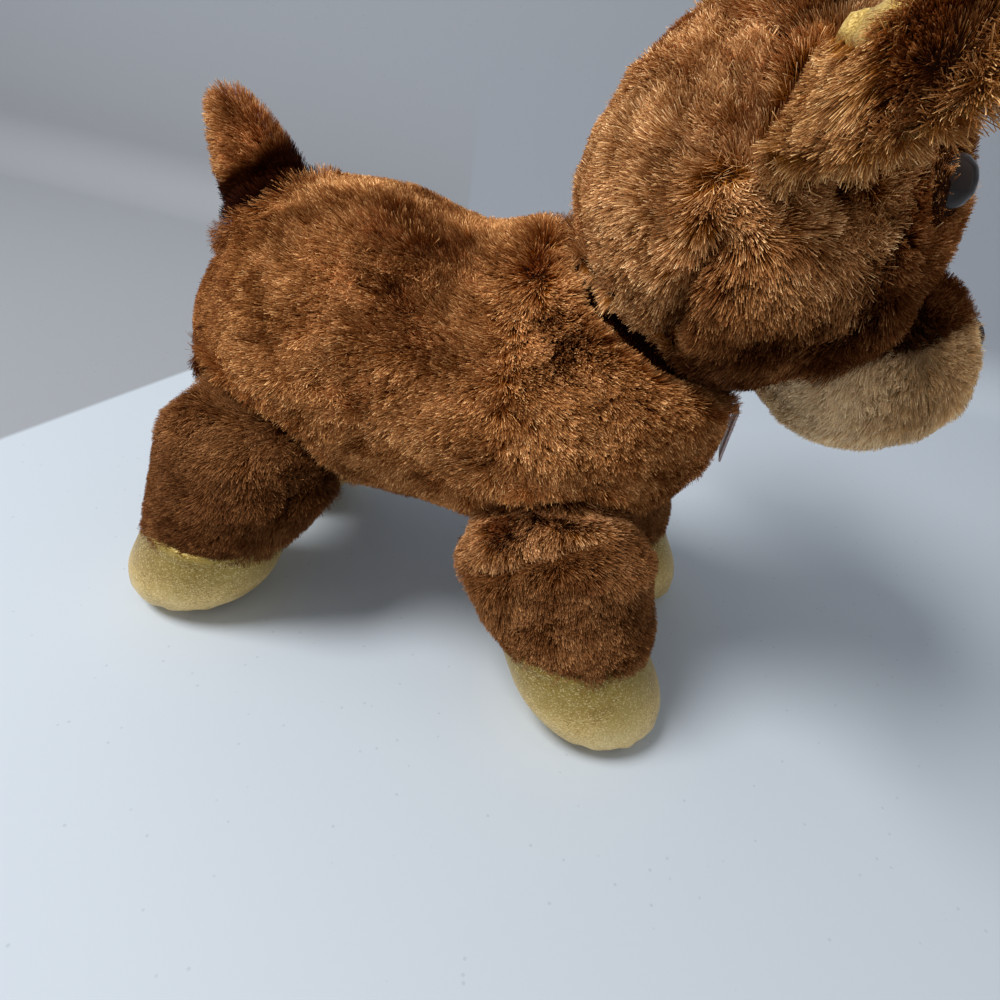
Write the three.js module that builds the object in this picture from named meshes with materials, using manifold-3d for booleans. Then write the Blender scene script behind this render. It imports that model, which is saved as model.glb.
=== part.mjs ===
// Plush deer: fur panels and their filling, gold hooves, ears and antlers.
// Millimetres. The nose points to +X, the deer's left side to +Y, and the hooves stand on Z = 0.
import * as THREE from 'three';
import { mergeVertices } from 'three/addons/utils/BufferGeometryUtils.js';
import Module from 'manifold-3d';

const wasm = await Module();
wasm.setup();
const { Manifold, Mesh } = wasm;

// Cloth, gaps and fineness
const PILE = 8;             // fur cloth: backing and pile
const EAR_PILE = 5;         // shorter fur on the back of the ears
const CLOTH = 1.6;          // smooth gold cloth, doubled at its seams
const GAP = 0.3;            // between pieces that touch
const SLIDE = 0.6;          // around pieces that move or flex
const WELD = 0.0003;        // corners closer than this are one
const REACH = 600;          // cutting blocks run past the whole deer
const ROUND_BIG = 18;       // facets around the torso and the head
const ROUND_LEG = 14;       // facets around the legs, the hooves and the snout
const ROUND_SMALL = 9;      // facets around small pieces
const ROUND_ROOM = 20;      // facets around the room that a turning piece needs

// Torso: stations from the rump to the chest, and how blunt its ends are
const TORSO_REAR = -117;
const TORSO_REAR_Z = 123;
const RUMP_X = -55;
const RUMP_Z = 132;
const RUMP_HIGH = 70;
const RUMP_WIDE = 67;
const WAIST_X = 8;
const WAIST_Z = 132;
const WAIST_HIGH = 66;
const WAIST_WIDE = 63;
const SHOULDER_X = 72;
const SHOULDER_Z = 129;
const SHOULDER_HIGH = 67;
const SHOULDER_WIDE = 67;
const TORSO_FRONT = 127;
const TORSO_FRONT_Z = 140;
const TORSO_BLUNT = 2.6;
const TORSO_STEPS = 12;
const DOME_ANGLES = [90, 60, 30, 0]; // degrees, rings of a domed limb root

// Legs and hooves
const FRONT_FOOT_X = 110;
const REAR_FOOT_X = -103;
const TRACK = 98;           // between the left and the right hooves
const HIP_TRACK = 94;       // between the left and the right hips
const FRONT_HIP_X = 74;
const FRONT_HIP_Z = 70;
const REAR_HIP_X = -69;
const REAR_HIP_Z = 77;
const HIP_RADIUS = 43;
const HIP_HALF_WIDTH = 32;
const HEM_RADIUS = 34.5;    // the fur at the top of the hoof
const HOOF_HIGH = 38;
const HOOF_RADIUS = 32.5;
const HOOF_NECK_RADIUS = 31;
const HOOF_EDGE_RADIUS = 26.5;
const HOOF_EDGE_Z = 6;
const HOOF_WIDEST_Z = 17;
const SOLE_RADIUS = 25;
const SOLE_THICK = 2.4;
const LEG_SWING = 12;       // degrees forwards and backwards

// Head, in its own frame: the origin is the middle of the head
const HEAD_X = 106;
const HEAD_Z = 220;
const HEAD_RADIUS = 65;
const HEAD_TURN = 15;       // degrees to the deer's left, as it was photographed
const HEAD_TILT = 14;       // degrees, its top towards the deer's left
const NECK_LEAN = 24;       // degrees that the neck leans forwards
const NECK_RADIUS = 22;
const NECK_LONG = 38;
const HEAD_NOD = 12;        // degrees up and down
const CHEEK_PLACE_SHARES = [0.385, 0.4, -0.354]; // forwards, out and up, of the head's radius
const CHEEK_RADIUS_SHARE = 0.415;
const SNOUT_PLACE_SHARES = [0.923, 0, -0.662];
const SNOUT_RADIUS_SHARES = [0.662, 0.569, 0.554]; // along, across and up
const MUZZLE_SEAM_SHARES = [0.462, 0, -0.846]; // the cream cloth starts under the chin here
const MUZZLE_SEAM_RISE = 26; // degrees

// Eyes, nose and their washers
const EYE_FORWARD = 43;     // degrees from the side of the head to its front
const EYE_UP = 12;          // degrees
const EYE_RADIUS = 9;
const NOSE_WIDE = 13;
const NOSE_HIGH = 9;
const NOSE_DEEP = 8;
const NOSE_UP = 24;         // degrees above the middle of the snout
const BACKING = 1.5;        // woven back of the fur cloth, that a dome sits on
const STEM_RADIUS = 2.4;
const WASHER_RADIUS = 8;
const WASHER_THICK = 1.6;

// Ears: a cupped leaf from its root line to its tip
const EAR_LONG = 64;
const EAR_HALF_WIDE = 24;
const EAR_ROOT_HALF_WIDE = 20;
const EAR_CUP = 11;         // depth of the cup
const LINING_THICK = 2;
const EAR_LINING_INSET = 4; // the fur rim around the gold lining
const EAR_DROOP = 12;       // the tip hangs lower than the root
const EAR_FORWARD = -12;    // degrees, where the root sits on the head
const EAR_UP = 21;          // degrees
const EAR_LEAN = 13;        // degrees that the root line leans forwards
const EAR_TILT = 25;        // degrees that the ear points forwards
const EAR_HEM_RADIUS = 5.5;
const EAR_STEPS = 6;        // rings from the root to the tip
const EAR_ARC = 4;          // facets across
const EAR_BLUNT = 3;

// Antlers: places forwards, out and up from the middle of the head, as shares of its radius
const ANTLER_ROOT_SHARES = [-0.308, 0.369, 0.923];
const ANTLER_FORK_SHARES = [-0.4, 0.523, 1.292];
const ANTLER_TOP_SHARES = [-0.369, 0.708, 1.877];
const ANTLER_REAR_SHARES = [-0.723, 0.692, 1];
const ANTLER_FRONT_SHARES = [0.062, 0.8, 1.615];
const ANTLER_RADIUS = 9;
const ANTLER_TIP_RADIUS = 6.5;
const ANTLER_BALL = 11;
const ANTLER_STEPS = 5;
const ANTLER_BLUNT = 7;

// Tail
const TAIL_ROOT_X = -78;
const TAIL_ROOT_Z = 178;
const TAIL_TIP_X = -101;
const TAIL_TIP_Z = 221;
const TAIL_ROOT_RADIUS = 23;
const TAIL_TIP_RADIUS = 11;
const TAIL_HALF_WIDE = 16;
const TAIL_SHARES = [1 / 3, 2 / 3, 0.92, 1];
const TAIL_BLUNT = 6;
const TAIL_SWING = 20;      // degrees forwards and backwards
const TAIL_HOLE_RADIUS = 6; // its filling goes in here

// Blank label in the chest seam
const TAG_TOP_Z = 141;
const TAG_LONG = 21;
const TAG_WIDE = 12;
const TAG_THICK = 0.9;

// Small helpers: points, angles, solids and meshes
const at = (x, y, z) => new THREE.Vector3(x, y, z);
const turn = (degrees) => THREE.MathUtils.degToRad(degrees);
const AXIS_X = at(1, 0, 0);
const AXIS_Y = at(0, 1, 0);
const AXIS_Z = at(0, 0, 1);
const SIDES = [['right', -1], ['left', 1]];

function solid(geometry) {
  geometry.deleteAttribute('normal');
  geometry.deleteAttribute('uv');
  const merged = mergeVertices(geometry, WELD);
  return new Manifold(new Mesh({
    numProp: 3,
    vertProperties: new Float32Array(merged.attributes.position.array),
    triVerts: new Uint32Array(merged.index.array),
  }));
}

function named(name, manifold, colour, roughness, metalness = 0) {
  const mesh = manifold.getMesh();
  const geometry = new THREE.BufferGeometry();
  geometry.setAttribute('position', new THREE.BufferAttribute(mesh.vertProperties, 3));
  geometry.setIndex(new THREE.BufferAttribute(mesh.triVerts, 1));
  geometry.computeVertexNormals();
  const material = new THREE.MeshStandardMaterial({ color: colour, roughness, metalness });
  const object = new THREE.Mesh(geometry, material);
  object.name = name;
  return object;
}

// Closed body through rings; a ring with no size closes to a point
function ringBody(rings, around) {
  const points = [];
  const faces = [];
  const starts = rings.map((ring) => {
    const start = points.length;
    const outline = ring.outline ?? ellipse(ring.side, ring.up, around);
    const isPoint = outline.every((offset) => offset.length() < GAP);
    for (const offset of isPoint ? [at(0, 0, 0)] : outline) {
      points.push(offset.clone().add(ring.centre));
    }
    return { start, count: points.length - start };
  });
  for (let k = 1; k < rings.length; k += 1) {
    const a = starts[k - 1];
    const b = starts[k];
    const count = Math.max(a.count, b.count);
    for (let i = 0; i < count; i += 1) {
      const j = (i + 1) % count;
      const [a0, a1] = a.count === 1 ? [a.start, a.start] : [a.start + i, a.start + j];
      const [b0, b1] = b.count === 1 ? [b.start, b.start] : [b.start + i, b.start + j];
      if (a.count > 1) faces.push(a0, a1, b0);
      if (b.count > 1) faces.push(a1, b1, b0);
    }
  }
  for (const [ring, flip] of [[0, true], [rings.length - 1, false]]) {
    const { start, count } = starts[ring];
    if (count === 1) continue;
    points.push(rings[ring].centre.clone());
    for (let i = 0; i < count; i += 1) {
      const pair = [start + i, start + ((i + 1) % count)];
      if (flip) pair.reverse();
      faces.push(pair[0], pair[1], points.length - 1);
    }
  }
  const geometry = new THREE.BufferGeometry();
  const numbers = points.flatMap((point) => point.toArray());
  geometry.setAttribute('position', new THREE.Float32BufferAttribute(numbers, 3));
  geometry.setIndex(faces);
  const body = solid(geometry);
  if (body.volume() > 0) return body;
  for (let i = 0; i < faces.length; i += 3) {
    [faces[i], faces[i + 1]] = [faces[i + 1], faces[i]];
  }
  geometry.setIndex(faces);
  return solid(geometry);
}

function ellipse(side, up, around) {
  return Array.from({ length: around }, (_, i) => {
    const angle = (i / around) * 2 * Math.PI;
    return side.clone().multiplyScalar(Math.cos(angle)).addScaledVector(up, Math.sin(angle));
  });
}

function ball(centre, radii, around) {
  const geometry = new THREE.SphereGeometry(1, around, Math.round(around / 2));
  geometry.rotateX(Math.PI / 2);
  geometry.scale(...radii);
  geometry.translate(...centre.toArray());
  return solid(geometry);
}

// A ball that a faceted ball inside it can turn in
function ballRoom(centre, radii) {
  const corner = Math.cos(Math.PI / ROUND_ROOM) ** 2;
  return ball(centre, radii.map((radius) => (radius + GAP) / corner), ROUND_ROOM);
}

function rod(from, to, radius, around) {
  const long = to.clone().sub(from);
  const geometry = new THREE.CylinderGeometry(radius, radius, long.length(), around);
  geometry.applyQuaternion(new THREE.Quaternion().setFromUnitVectors(AXIS_Y, long.clone().normalize()));
  geometry.translate(...from.clone().add(to).multiplyScalar(1 / 2).toArray());
  return solid(geometry);
}

// A block that holds one side of a plane through a point
function halfSpace(point, normal) {
  const geometry = new THREE.BoxGeometry(REACH, REACH, REACH);
  geometry.translate(0, REACH / 2, 0);
  geometry.applyQuaternion(new THREE.Quaternion().setFromUnitVectors(AXIS_Y, normal));
  geometry.translate(...point.toArray());
  return solid(geometry);
}

function spun(body, pivot, axis, degrees) {
  const move = new THREE.Matrix4().makeTranslation(pivot)
    .multiply(new THREE.Matrix4().makeRotationAxis(axis, turn(degrees)))
    .multiply(new THREE.Matrix4().makeTranslation(pivot.clone().negate()));
  return body.transform(move.toArray());
}

const smooth = (share) => share * share * (3 - 2 * share);
const sideHalf = (sign) => halfSpace(at(0, (sign * GAP) / 2, 0), at(0, sign, 0));

// Torso: swelling rings from the rump to the chest
const STATIONS = [
  { x: TORSO_REAR, z: TORSO_REAR_Z, high: RUMP_HIGH, wide: RUMP_WIDE },
  { x: RUMP_X, z: RUMP_Z, high: RUMP_HIGH, wide: RUMP_WIDE },
  { x: WAIST_X, z: WAIST_Z, high: WAIST_HIGH, wide: WAIST_WIDE },
  { x: SHOULDER_X, z: SHOULDER_Z, high: SHOULDER_HIGH, wide: SHOULDER_WIDE },
  { x: TORSO_FRONT, z: TORSO_FRONT_Z, high: SHOULDER_HIGH, wide: SHOULDER_WIDE },
];

function stationAt(x) {
  const k = Math.max(1, STATIONS.findIndex((station) => station.x >= x));
  const [a, b] = [STATIONS[k - 1], STATIONS[k]];
  const share = smooth((x - a.x) / (b.x - a.x));
  const blend = (key) => a[key] + (b[key] - a[key]) * share;
  return { z: blend('z'), high: blend('high'), wide: blend('wide') };
}

function torsoForm(inset) {
  const middle = (TORSO_REAR + TORSO_FRONT) / 2;
  const half = (TORSO_FRONT - TORSO_REAR) / 2 - inset;
  const rings = Array.from({ length: TORSO_STEPS + 1 }, (_, i) => {
    const share = Math.sin(turn(-90 + (180 * i) / TORSO_STEPS));
    const size = (1 - Math.abs(share) ** TORSO_BLUNT) ** (1 / TORSO_BLUNT);
    const { z, high, wide } = stationAt(middle + share * half);
    return {
      centre: at(middle + share * half, 0, z),
      side: at(0, (wide - inset) * size, 0),
      up: at(0, 0, (high - inset) * size),
    };
  });
  return ringBody(rings, ROUND_BIG);
}

// Legs: a round hip and a shank that leans to the hoof
const LEGS = [
  ['front', FRONT_FOOT_X, FRONT_HIP_X, FRONT_HIP_Z],
  ['rear', REAR_FOOT_X, REAR_HIP_X, REAR_HIP_Z],
].flatMap(
  ([end, footX, hipX, hipZ]) => SIDES.map(([side, sign]) => ({
    name: `${end}_${side}`,
    hip: at(hipX, (sign * HIP_TRACK) / 2, hipZ),
    foot: at(footX, (sign * TRACK) / 2, 0),
  })),
);

// Rings of a domed root: from its top down to its middle
function domeRings(centre, radii, inset, aim = AXIS_Z) {
  const forward = AXIS_Y.clone().cross(aim);
  return DOME_ANGLES.map((angle) => {
    const level = Math.cos(turn(angle));
    return {
      centre: centre.clone().addScaledVector(aim, Math.sin(turn(angle)) * (radii[0] - inset)),
      side: at(0, (radii[1] - inset) * level, 0),
      up: forward.clone().multiplyScalar((radii[0] - inset) * level),
    };
  });
}

function shankRings(leg, inset, bottom) {
  const hem = leg.foot.clone().lerp(leg.hip, bottom / leg.hip.z);
  const middle = leg.hip.clone().lerp(hem, 1 / 2);
  const ring = (centre, along, across) => ({
    centre, side: at(0, across - inset, 0), up: at(along - inset, 0, 0),
  });
  return [
    ring(middle, (HIP_RADIUS + HEM_RADIUS) / 2, HIP_HALF_WIDTH),
    ring(hem, HEM_RADIUS, HEM_RADIUS),
  ];
}

function legForm(leg, inset, bottom) {
  const dome = domeRings(leg.hip, [HIP_RADIUS, HIP_HALF_WIDTH], inset);
  return ringBody([...dome, ...shankRings(leg, inset, bottom)], ROUND_LEG);
}

// The room that a leg needs in the torso when it swings
function legPocket(leg) {
  let room = ballRoom(leg.hip, [HIP_RADIUS, HIP_HALF_WIDTH, HIP_RADIUS]);
  for (const swing of [-LEG_SWING, LEG_SWING]) {
    room = room.add(spun(legForm(leg, -SLIDE, HOOF_HIGH), leg.hip, AXIS_Y, swing));
  }
  return room;
}

// Hoof: a round cap of gold cloth with a flat sole sewn into it
function hoofForm(leg, inset, bottom, top) {
  const hem = leg.foot.clone().lerp(leg.hip, HOOF_HIGH / leg.hip.z);
  const profile = [
    [bottom, HOOF_EDGE_RADIUS], [HOOF_EDGE_Z, HOOF_RADIUS - CLOTH], [HOOF_WIDEST_Z, HOOF_RADIUS],
    [top, HOOF_NECK_RADIUS],
  ];
  return ringBody(profile.map(([z, radius]) => ({
    centre: at(leg.foot.x + ((hem.x - leg.foot.x) * z) / HOOF_HIGH, leg.foot.y, z),
    side: at(0, radius - inset, 0),
    up: at(radius - inset, 0, 0),
  })), ROUND_LEG);
}

function legPieces(leg) {
  const hem = HOOF_HIGH + GAP;
  const skin = legForm(leg, 0, hem).subtract(legForm(leg, PILE, hem - PILE));
  const inner = PILE + GAP;
  const bandBottom = SOLE_THICK + GAP;
  const band = hoofForm(leg, 0, bandBottom, HOOF_HIGH)
    .subtract(hoofForm(leg, CLOTH, bandBottom - CLOTH, HOOF_HIGH + CLOTH));
  const filling = legForm(leg, inner, hem - PILE)
    .add(hoofForm(leg, CLOTH + GAP, bandBottom, HOOF_HIGH - GAP));
  const sole = rod(leg.foot, leg.foot.clone().setZ(SOLE_THICK), SOLE_RADIUS, ROUND_LEG);
  return { skin, band, filling, sole };
}

// Tail: a stuffed cone on a ball that sits in the rump
const TAIL_ROOT = at(TAIL_ROOT_X, 0, TAIL_ROOT_Z);
const TAIL_TIP = at(TAIL_TIP_X, 0, TAIL_TIP_Z);

function tailForm(inset) {
  const aim = TAIL_TIP.clone().sub(TAIL_ROOT).normalize();
  const long = TAIL_TIP.distanceTo(TAIL_ROOT) - inset;
  const across = aim.clone().cross(AXIS_Y);
  const root = domeRings(TAIL_ROOT, [TAIL_ROOT_RADIUS, TAIL_HALF_WIDE], inset, aim.clone().negate());
  const cone = TAIL_SHARES.map((share) => {
    const close = Math.sqrt(1 - share ** TAIL_BLUNT);
    const size = TAIL_ROOT_RADIUS + (TAIL_TIP_RADIUS - TAIL_ROOT_RADIUS) * share;
    const wide = TAIL_HALF_WIDE + (TAIL_TIP_RADIUS - TAIL_HALF_WIDE) * share;
    return {
      centre: TAIL_ROOT.clone().addScaledVector(aim, long * share),
      side: at(0, (wide - inset) * close, 0),
      up: across.clone().multiplyScalar((size - inset) * close),
    };
  });
  return ringBody([...root, ...cone], ROUND_LEG);
}

// Head: a round skull with cheeks and a snout, about its own origin
const HEAD = at(HEAD_X, 0, HEAD_Z);
const NECK_AXIS = AXIS_Z.clone().applyAxisAngle(AXIS_Y, turn(NECK_LEAN));
const CENTRE = at(0, 0, 0);

// A place on the head from its shares of the head's radius, on one side or in the middle
const onHead = ([x, y, z], sign = 1) => at(x, sign * y, z).multiplyScalar(HEAD_RADIUS);
const SNOUT = onHead(SNOUT_PLACE_SHARES);
const SNOUT_RADII = SNOUT_RADIUS_SHARES.map((share) => share * HEAD_RADIUS);

function headForm(inset) {
  const radius = HEAD_RADIUS - inset;
  let form = ball(CENTRE, [radius, radius, radius], ROUND_BIG);
  for (const [, sign] of SIDES) {
    const cheek = CHEEK_RADIUS_SHARE * HEAD_RADIUS - inset;
    form = form.add(ball(onHead(CHEEK_PLACE_SHARES, sign), [cheek, cheek, cheek], ROUND_LEG));
  }
  return form.add(ball(SNOUT, SNOUT_RADII.map((size) => size - inset), ROUND_LEG));
}

const muzzleSide = (gap) => {
  const rise = turn(MUZZLE_SEAM_RISE);
  const normal = at(Math.sin(rise), 0, -Math.cos(rise));
  return halfSpace(onHead(MUZZLE_SEAM_SHARES).addScaledVector(normal, gap), normal);
};

// A ray from the middle of a round form, in degrees forwards of the side and up
function lookFrom(sign, forward, up) {
  return at(Math.sin(turn(forward)) * Math.cos(turn(up)),
    sign * Math.cos(turn(forward)) * Math.cos(turn(up)), Math.sin(turn(up)));
}

// A button eye or nose: a dome on the backing cloth, a stem through it and a washer behind
function button(place, ray, radii) {
  const point = (depth) => place.clone().addScaledVector(ray, -depth);
  const disc = (radius, from, to) => rod(point(from), point(to), radius, ROUND_SMALL);
  const seat = PILE - BACKING;
  const dome = (grow) => {
    const geometry = new THREE.SphereGeometry(1, ROUND_LEG, ROUND_LEG / 2);
    geometry.rotateZ(turn(90));
    geometry.scale(radii[0] + grow, radii[1] + grow, radii[2] + grow);
    geometry.applyQuaternion(new THREE.Quaternion().setFromUnitVectors(AXIS_X, ray));
    geometry.translate(...point(seat).toArray());
    return solid(geometry).intersect(halfSpace(point(seat), ray));
  };
  const washerTop = PILE + GAP;
  const washerEnd = washerTop + WASHER_THICK;
  const stemEnd = washerEnd + STEM_RADIUS;
  const piece = dome(0).add(disc(STEM_RADIUS, seat - GAP, stemEnd));
  const washer = disc(WASHER_RADIUS, washerTop, washerEnd)
    .subtract(disc(STEM_RADIUS + GAP, seat, stemEnd + GAP));
  const room = dome(GAP).add(disc(STEM_RADIUS + GAP, seat - GAP, stemEnd + GAP))
    .add(disc(WASHER_RADIUS + GAP, PILE, washerEnd + GAP));
  const fillingRoom = room.add(disc(WASHER_RADIUS + GAP, 0, washerEnd + GAP));
  return { piece, washer, room, fillingRoom };
}

// Ear: a cupped leaf, built in layers from its furry back to its gold lining
function earFrame(sign) {
  const normal = lookFrom(sign, EAR_FORWARD, EAR_UP);
  const up = AXIS_Z.clone().addScaledVector(normal, -normal.z).normalize();
  const across = up.applyAxisAngle(normal, sign * turn(EAR_LEAN));
  const out = normal.clone().applyAxisAngle(across, -sign * turn(EAR_TILT));
  const face = out.clone().cross(across).multiplyScalar(sign);
  return { out, across, face, root: normal.multiplyScalar(HEAD_RADIUS) };
}

function earLayer(sign, from, to, inset) {
  const { out, across, face, root } = earFrame(sign);
  const middle = (from + to) / 2;
  const rings = Array.from({ length: EAR_STEPS + 1 }, (_, i) => {
    const share = i / EAR_STEPS;
    const reach = ((EAR_LONG - inset) * share) / EAR_LONG;
    const grow = Math.sin(Math.min(1, reach * 2) * (Math.PI / 2));
    const close = Math.sqrt(1 - share ** EAR_BLUNT);
    const widest = EAR_ROOT_HALF_WIDE + (EAR_HALF_WIDE - EAR_ROOT_HALF_WIDE) * grow;
    const half = (widest - inset) * close;
    const edge = (depth) => Array.from({ length: EAR_ARC + 1 }, (_, k) => {
      const side = (2 * k) / EAR_ARC - 1;
      const cup = EAR_CUP * (1 - side * side) * grow * close;
      return across.clone().multiplyScalar(side * half)
        .addScaledVector(face, (depth - middle) * close - cup);
    });
    return {
      centre: root.clone().addScaledVector(out, EAR_LONG * reach)
        .addScaledVector(across, -EAR_DROOP * reach * reach)
        .addScaledVector(face, middle),
      outline: [...edge(from), ...edge(to).reverse()],
    };
  });
  return ringBody(rings);
}

function ear(sign) {
  const { across, face, root } = earFrame(sign);
  const hinge = root.clone().addScaledVector(face, EAR_PILE / 2);
  const hem = (grow) => rod(hinge.clone().addScaledVector(across, -EAR_ROOT_HALF_WIDE - grow),
    hinge.clone().addScaledVector(across, EAR_ROOT_HALF_WIDE + grow), EAR_HEM_RADIUS + grow, ROUND_LEG);
  const lining = earLayer(sign, EAR_PILE + SLIDE, EAR_PILE + SLIDE + LINING_THICK, EAR_LINING_INSET)
    .subtract(hem(GAP));
  return { back: earLayer(sign, 0, EAR_PILE, 0).add(hem(0)), lining, room: hem(GAP) };
}

// Antler: a stuffed beam with a rear and a front tine, on a ball that sits in the head
function horn(from, to, bend, radius) {
  const curve = new THREE.CatmullRomCurve3([from, bend, to]);
  const frames = curve.computeFrenetFrames(ANTLER_STEPS, false);
  const rings = Array.from({ length: ANTLER_STEPS + 1 }, (_, i) => {
    const share = i / ANTLER_STEPS;
    const size = (radius + (ANTLER_TIP_RADIUS - radius) * share) * Math.sqrt(1 - share ** ANTLER_BLUNT);
    return {
      centre: curve.getPointAt(share),
      side: frames.normals[i].clone().multiplyScalar(size),
      up: frames.binormals[i].clone().multiplyScalar(size),
    };
  });
  return ringBody(rings, ROUND_SMALL);
}

function antler(sign) {
  const [root, fork, top, rear, front] = [
    ANTLER_ROOT_SHARES, ANTLER_FORK_SHARES, ANTLER_TOP_SHARES, ANTLER_REAR_SHARES, ANTLER_FRONT_SHARES,
  ].map((shares) => onHead(shares, sign));
  const between = (a, b) => a.clone().lerp(b, 1 / 2);
  const piece = horn(root, top, fork, ANTLER_RADIUS)
    .add(horn(between(root, fork), rear, between(between(root, fork), rear), ANTLER_TIP_RADIUS))
    .add(horn(between(fork, top), front, between(between(fork, top), front), ANTLER_TIP_RADIUS))
    .add(ball(root, Array(3).fill(ANTLER_BALL), ROUND_SMALL));
  return { piece, room: ballRoom(root, Array(3).fill(ANTLER_BALL)) };
}

// Colours of the cloths and of the plastic pieces
const BODY_FUR = ['#7b4521', 0.9];
const HEAD_FUR = ['#8f5a2e', 0.9];
const CREAM_FUR = ['#e6d3b3', 0.9];
const STUFFING = ['#f1efea', 1];
const GOLD_CLOTH = ['#b8a562', 0.45, 0.4];
const DARK_PLASTIC = ['#17100c', 0.15];
const WASHER_PLASTIC = ['#d9dbdc', 0.5];
const LABEL_CLOTH = ['#efe6ea', 0.8];

const deer = new THREE.Group();
const add = (group, name, manifold, look) => group.add(named(name, manifold, ...look));

// Torso panels, their filling, the neck filling and the label
const headReach = (Math.hypot(...CHEEK_PLACE_SHARES) + CHEEK_RADIUS_SHARE) * HEAD_RADIUS;
let torsoRoom = ballRoom(HEAD, Array(3).fill(headReach))
  .add(ballRoom(TAIL_ROOT, [TAIL_ROOT_RADIUS, TAIL_HALF_WIDE, TAIL_ROOT_RADIUS]));
for (const swing of [-TAIL_SWING, TAIL_SWING]) {
  torsoRoom = torsoRoom.add(spun(tailForm(-SLIDE), TAIL_ROOT, AXIS_Y, swing));
}
for (const leg of LEGS) torsoRoom = torsoRoom.add(legPocket(leg));

const neckPoint = (distance) => HEAD.clone().addScaledVector(NECK_AXIS, -distance);
const neckTop = HEAD_RADIUS - PILE - GAP;
const neckEnd = HEAD_RADIUS + NECK_LONG;
const neckRoomRadius = (NECK_RADIUS + GAP) / Math.cos(Math.PI / ROUND_LEG);
const neckRoom = rod(HEAD, neckPoint(neckEnd + GAP), neckRoomRadius, ROUND_LEG);
const headCup = (grow) => ballRoom(HEAD, Array(3).fill(headReach + PILE + grow));
const torsoSkin = torsoForm(0).subtract(torsoForm(PILE).subtract(headCup(0)))
  .subtract(torsoRoom.add(neckRoom));
for (const [side, sign] of SIDES) {
  add(deer, `torso_panel_${side}`, torsoSkin.intersect(sideHalf(sign)), BODY_FUR);
}
const torsoFill = torsoForm(PILE + GAP).subtract(torsoRoom.add(headCup(GAP)).add(neckRoom));
add(deer, 'torso_filling', torsoFill, STUFFING);
add(deer, 'neck_filling', rod(HEAD, neckPoint(neckEnd), NECK_RADIUS, ROUND_LEG)
  .subtract(ballRoom(HEAD, Array(3).fill(neckTop))), STUFFING);

const tag = new THREE.BoxGeometry(TAG_THICK, TAG_WIDE, TAG_LONG);
tag.translate(TORSO_FRONT + GAP + TAG_THICK / 2, 0, TAG_TOP_Z - TAG_LONG / 2);
add(deer, 'label_tag', solid(tag), LABEL_CLOTH);

for (const leg of LEGS) {
  const { skin, band, filling, sole } = legPieces(leg);
  add(deer, `${leg.name}_leg_skin`, skin, BODY_FUR);
  add(deer, `${leg.name}_leg_filling`, filling, STUFFING);
  add(deer, `${leg.name}_hoof_band`, band, GOLD_CLOTH);
  add(deer, `${leg.name}_hoof_sole`, sole, GOLD_CLOTH);
}

const tailHole = rod(TAIL_ROOT, TAIL_ROOT.clone().setZ(TAIL_ROOT_Z - TAIL_ROOT_RADIUS - GAP),
  TAIL_HOLE_RADIUS, ROUND_SMALL);
add(deer, 'tail_skin', tailForm(0).subtract(tailForm(PILE)).subtract(tailHole), BODY_FUR);
add(deer, 'tail_filling', tailForm(PILE + GAP), STUFFING);

// Head: its pieces share a group that sits on the neck, turned as photographed
const head = new THREE.Group();
head.position.copy(HEAD);
head.rotation.set(-turn(HEAD_TILT), 0, turn(HEAD_TURN));
deer.add(head);

const noseRay = at(Math.cos(turn(NOSE_UP)), 0, Math.sin(turn(NOSE_UP)));
const noseReach = 1 / Math.hypot(noseRay.x / SNOUT_RADII[0], noseRay.z / SNOUT_RADII[2]);
const nosePlace = SNOUT.clone().addScaledVector(noseRay, noseReach);
const nose = button(nosePlace, noseRay, [NOSE_DEEP, NOSE_WIDE, NOSE_HIGH]);
add(head, 'nose', nose.piece, DARK_PLASTIC);
add(head, 'nose_washer', nose.washer, WASHER_PLASTIC);

let headRoom = nose.room;
let fillingRoom = nose.fillingRoom;
for (const [side, sign] of SIDES) {
  const ray = lookFrom(sign, EYE_FORWARD, EYE_UP);
  const eye = button(ray.clone().multiplyScalar(HEAD_RADIUS), ray, [EYE_RADIUS, EYE_RADIUS, EYE_RADIUS]);
  const { back, lining, room } = ear(sign);
  const horns = antler(sign);
  headRoom = headRoom.add(eye.room).add(room).add(horns.room);
  fillingRoom = fillingRoom.add(eye.fillingRoom);
  add(head, `eye_${side}`, eye.piece, DARK_PLASTIC);
  add(head, `eye_washer_${side}`, eye.washer, WASHER_PLASTIC);
  add(head, `ear_back_${side}`, back, HEAD_FUR);
  add(head, `ear_lining_${side}`, lining, GOLD_CLOTH);
  add(head, `antler_${side}`, horns.piece, GOLD_CLOTH);
}

const neckSwing = HEAD_RADIUS * Math.sin(turn(HEAD_NOD));
const neckWay = NECK_AXIS.clone().applyQuaternion(head.quaternion.clone().invert());
const neckHole = rod(CENTRE, neckWay.multiplyScalar(-headReach - GAP),
  neckRoomRadius + neckSwing, ROUND_LEG);
const headSkin = headForm(0).subtract(headForm(PILE)).subtract(headRoom).subtract(neckHole);
add(head, 'muzzle_panel', headSkin.intersect(muzzleSide(GAP)), CREAM_FUR);
for (const [side, sign] of SIDES) {
  add(head, `head_panel_${side}`, headSkin.subtract(muzzleSide(0)).intersect(sideHalf(sign)), HEAD_FUR);
}
add(head, 'head_filling', headForm(PILE + GAP).subtract(headRoom).subtract(fillingRoom), STUFFING);

// The origin is under the middle of the deer, on the floor
const box = new THREE.Box3().setFromObject(deer, true);
deer.position.set(-(box.min.x + box.max.x) / 2, -(box.min.y + box.max.y) / 2, 0);

export default deer;
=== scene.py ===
# %% [markdown]
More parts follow.
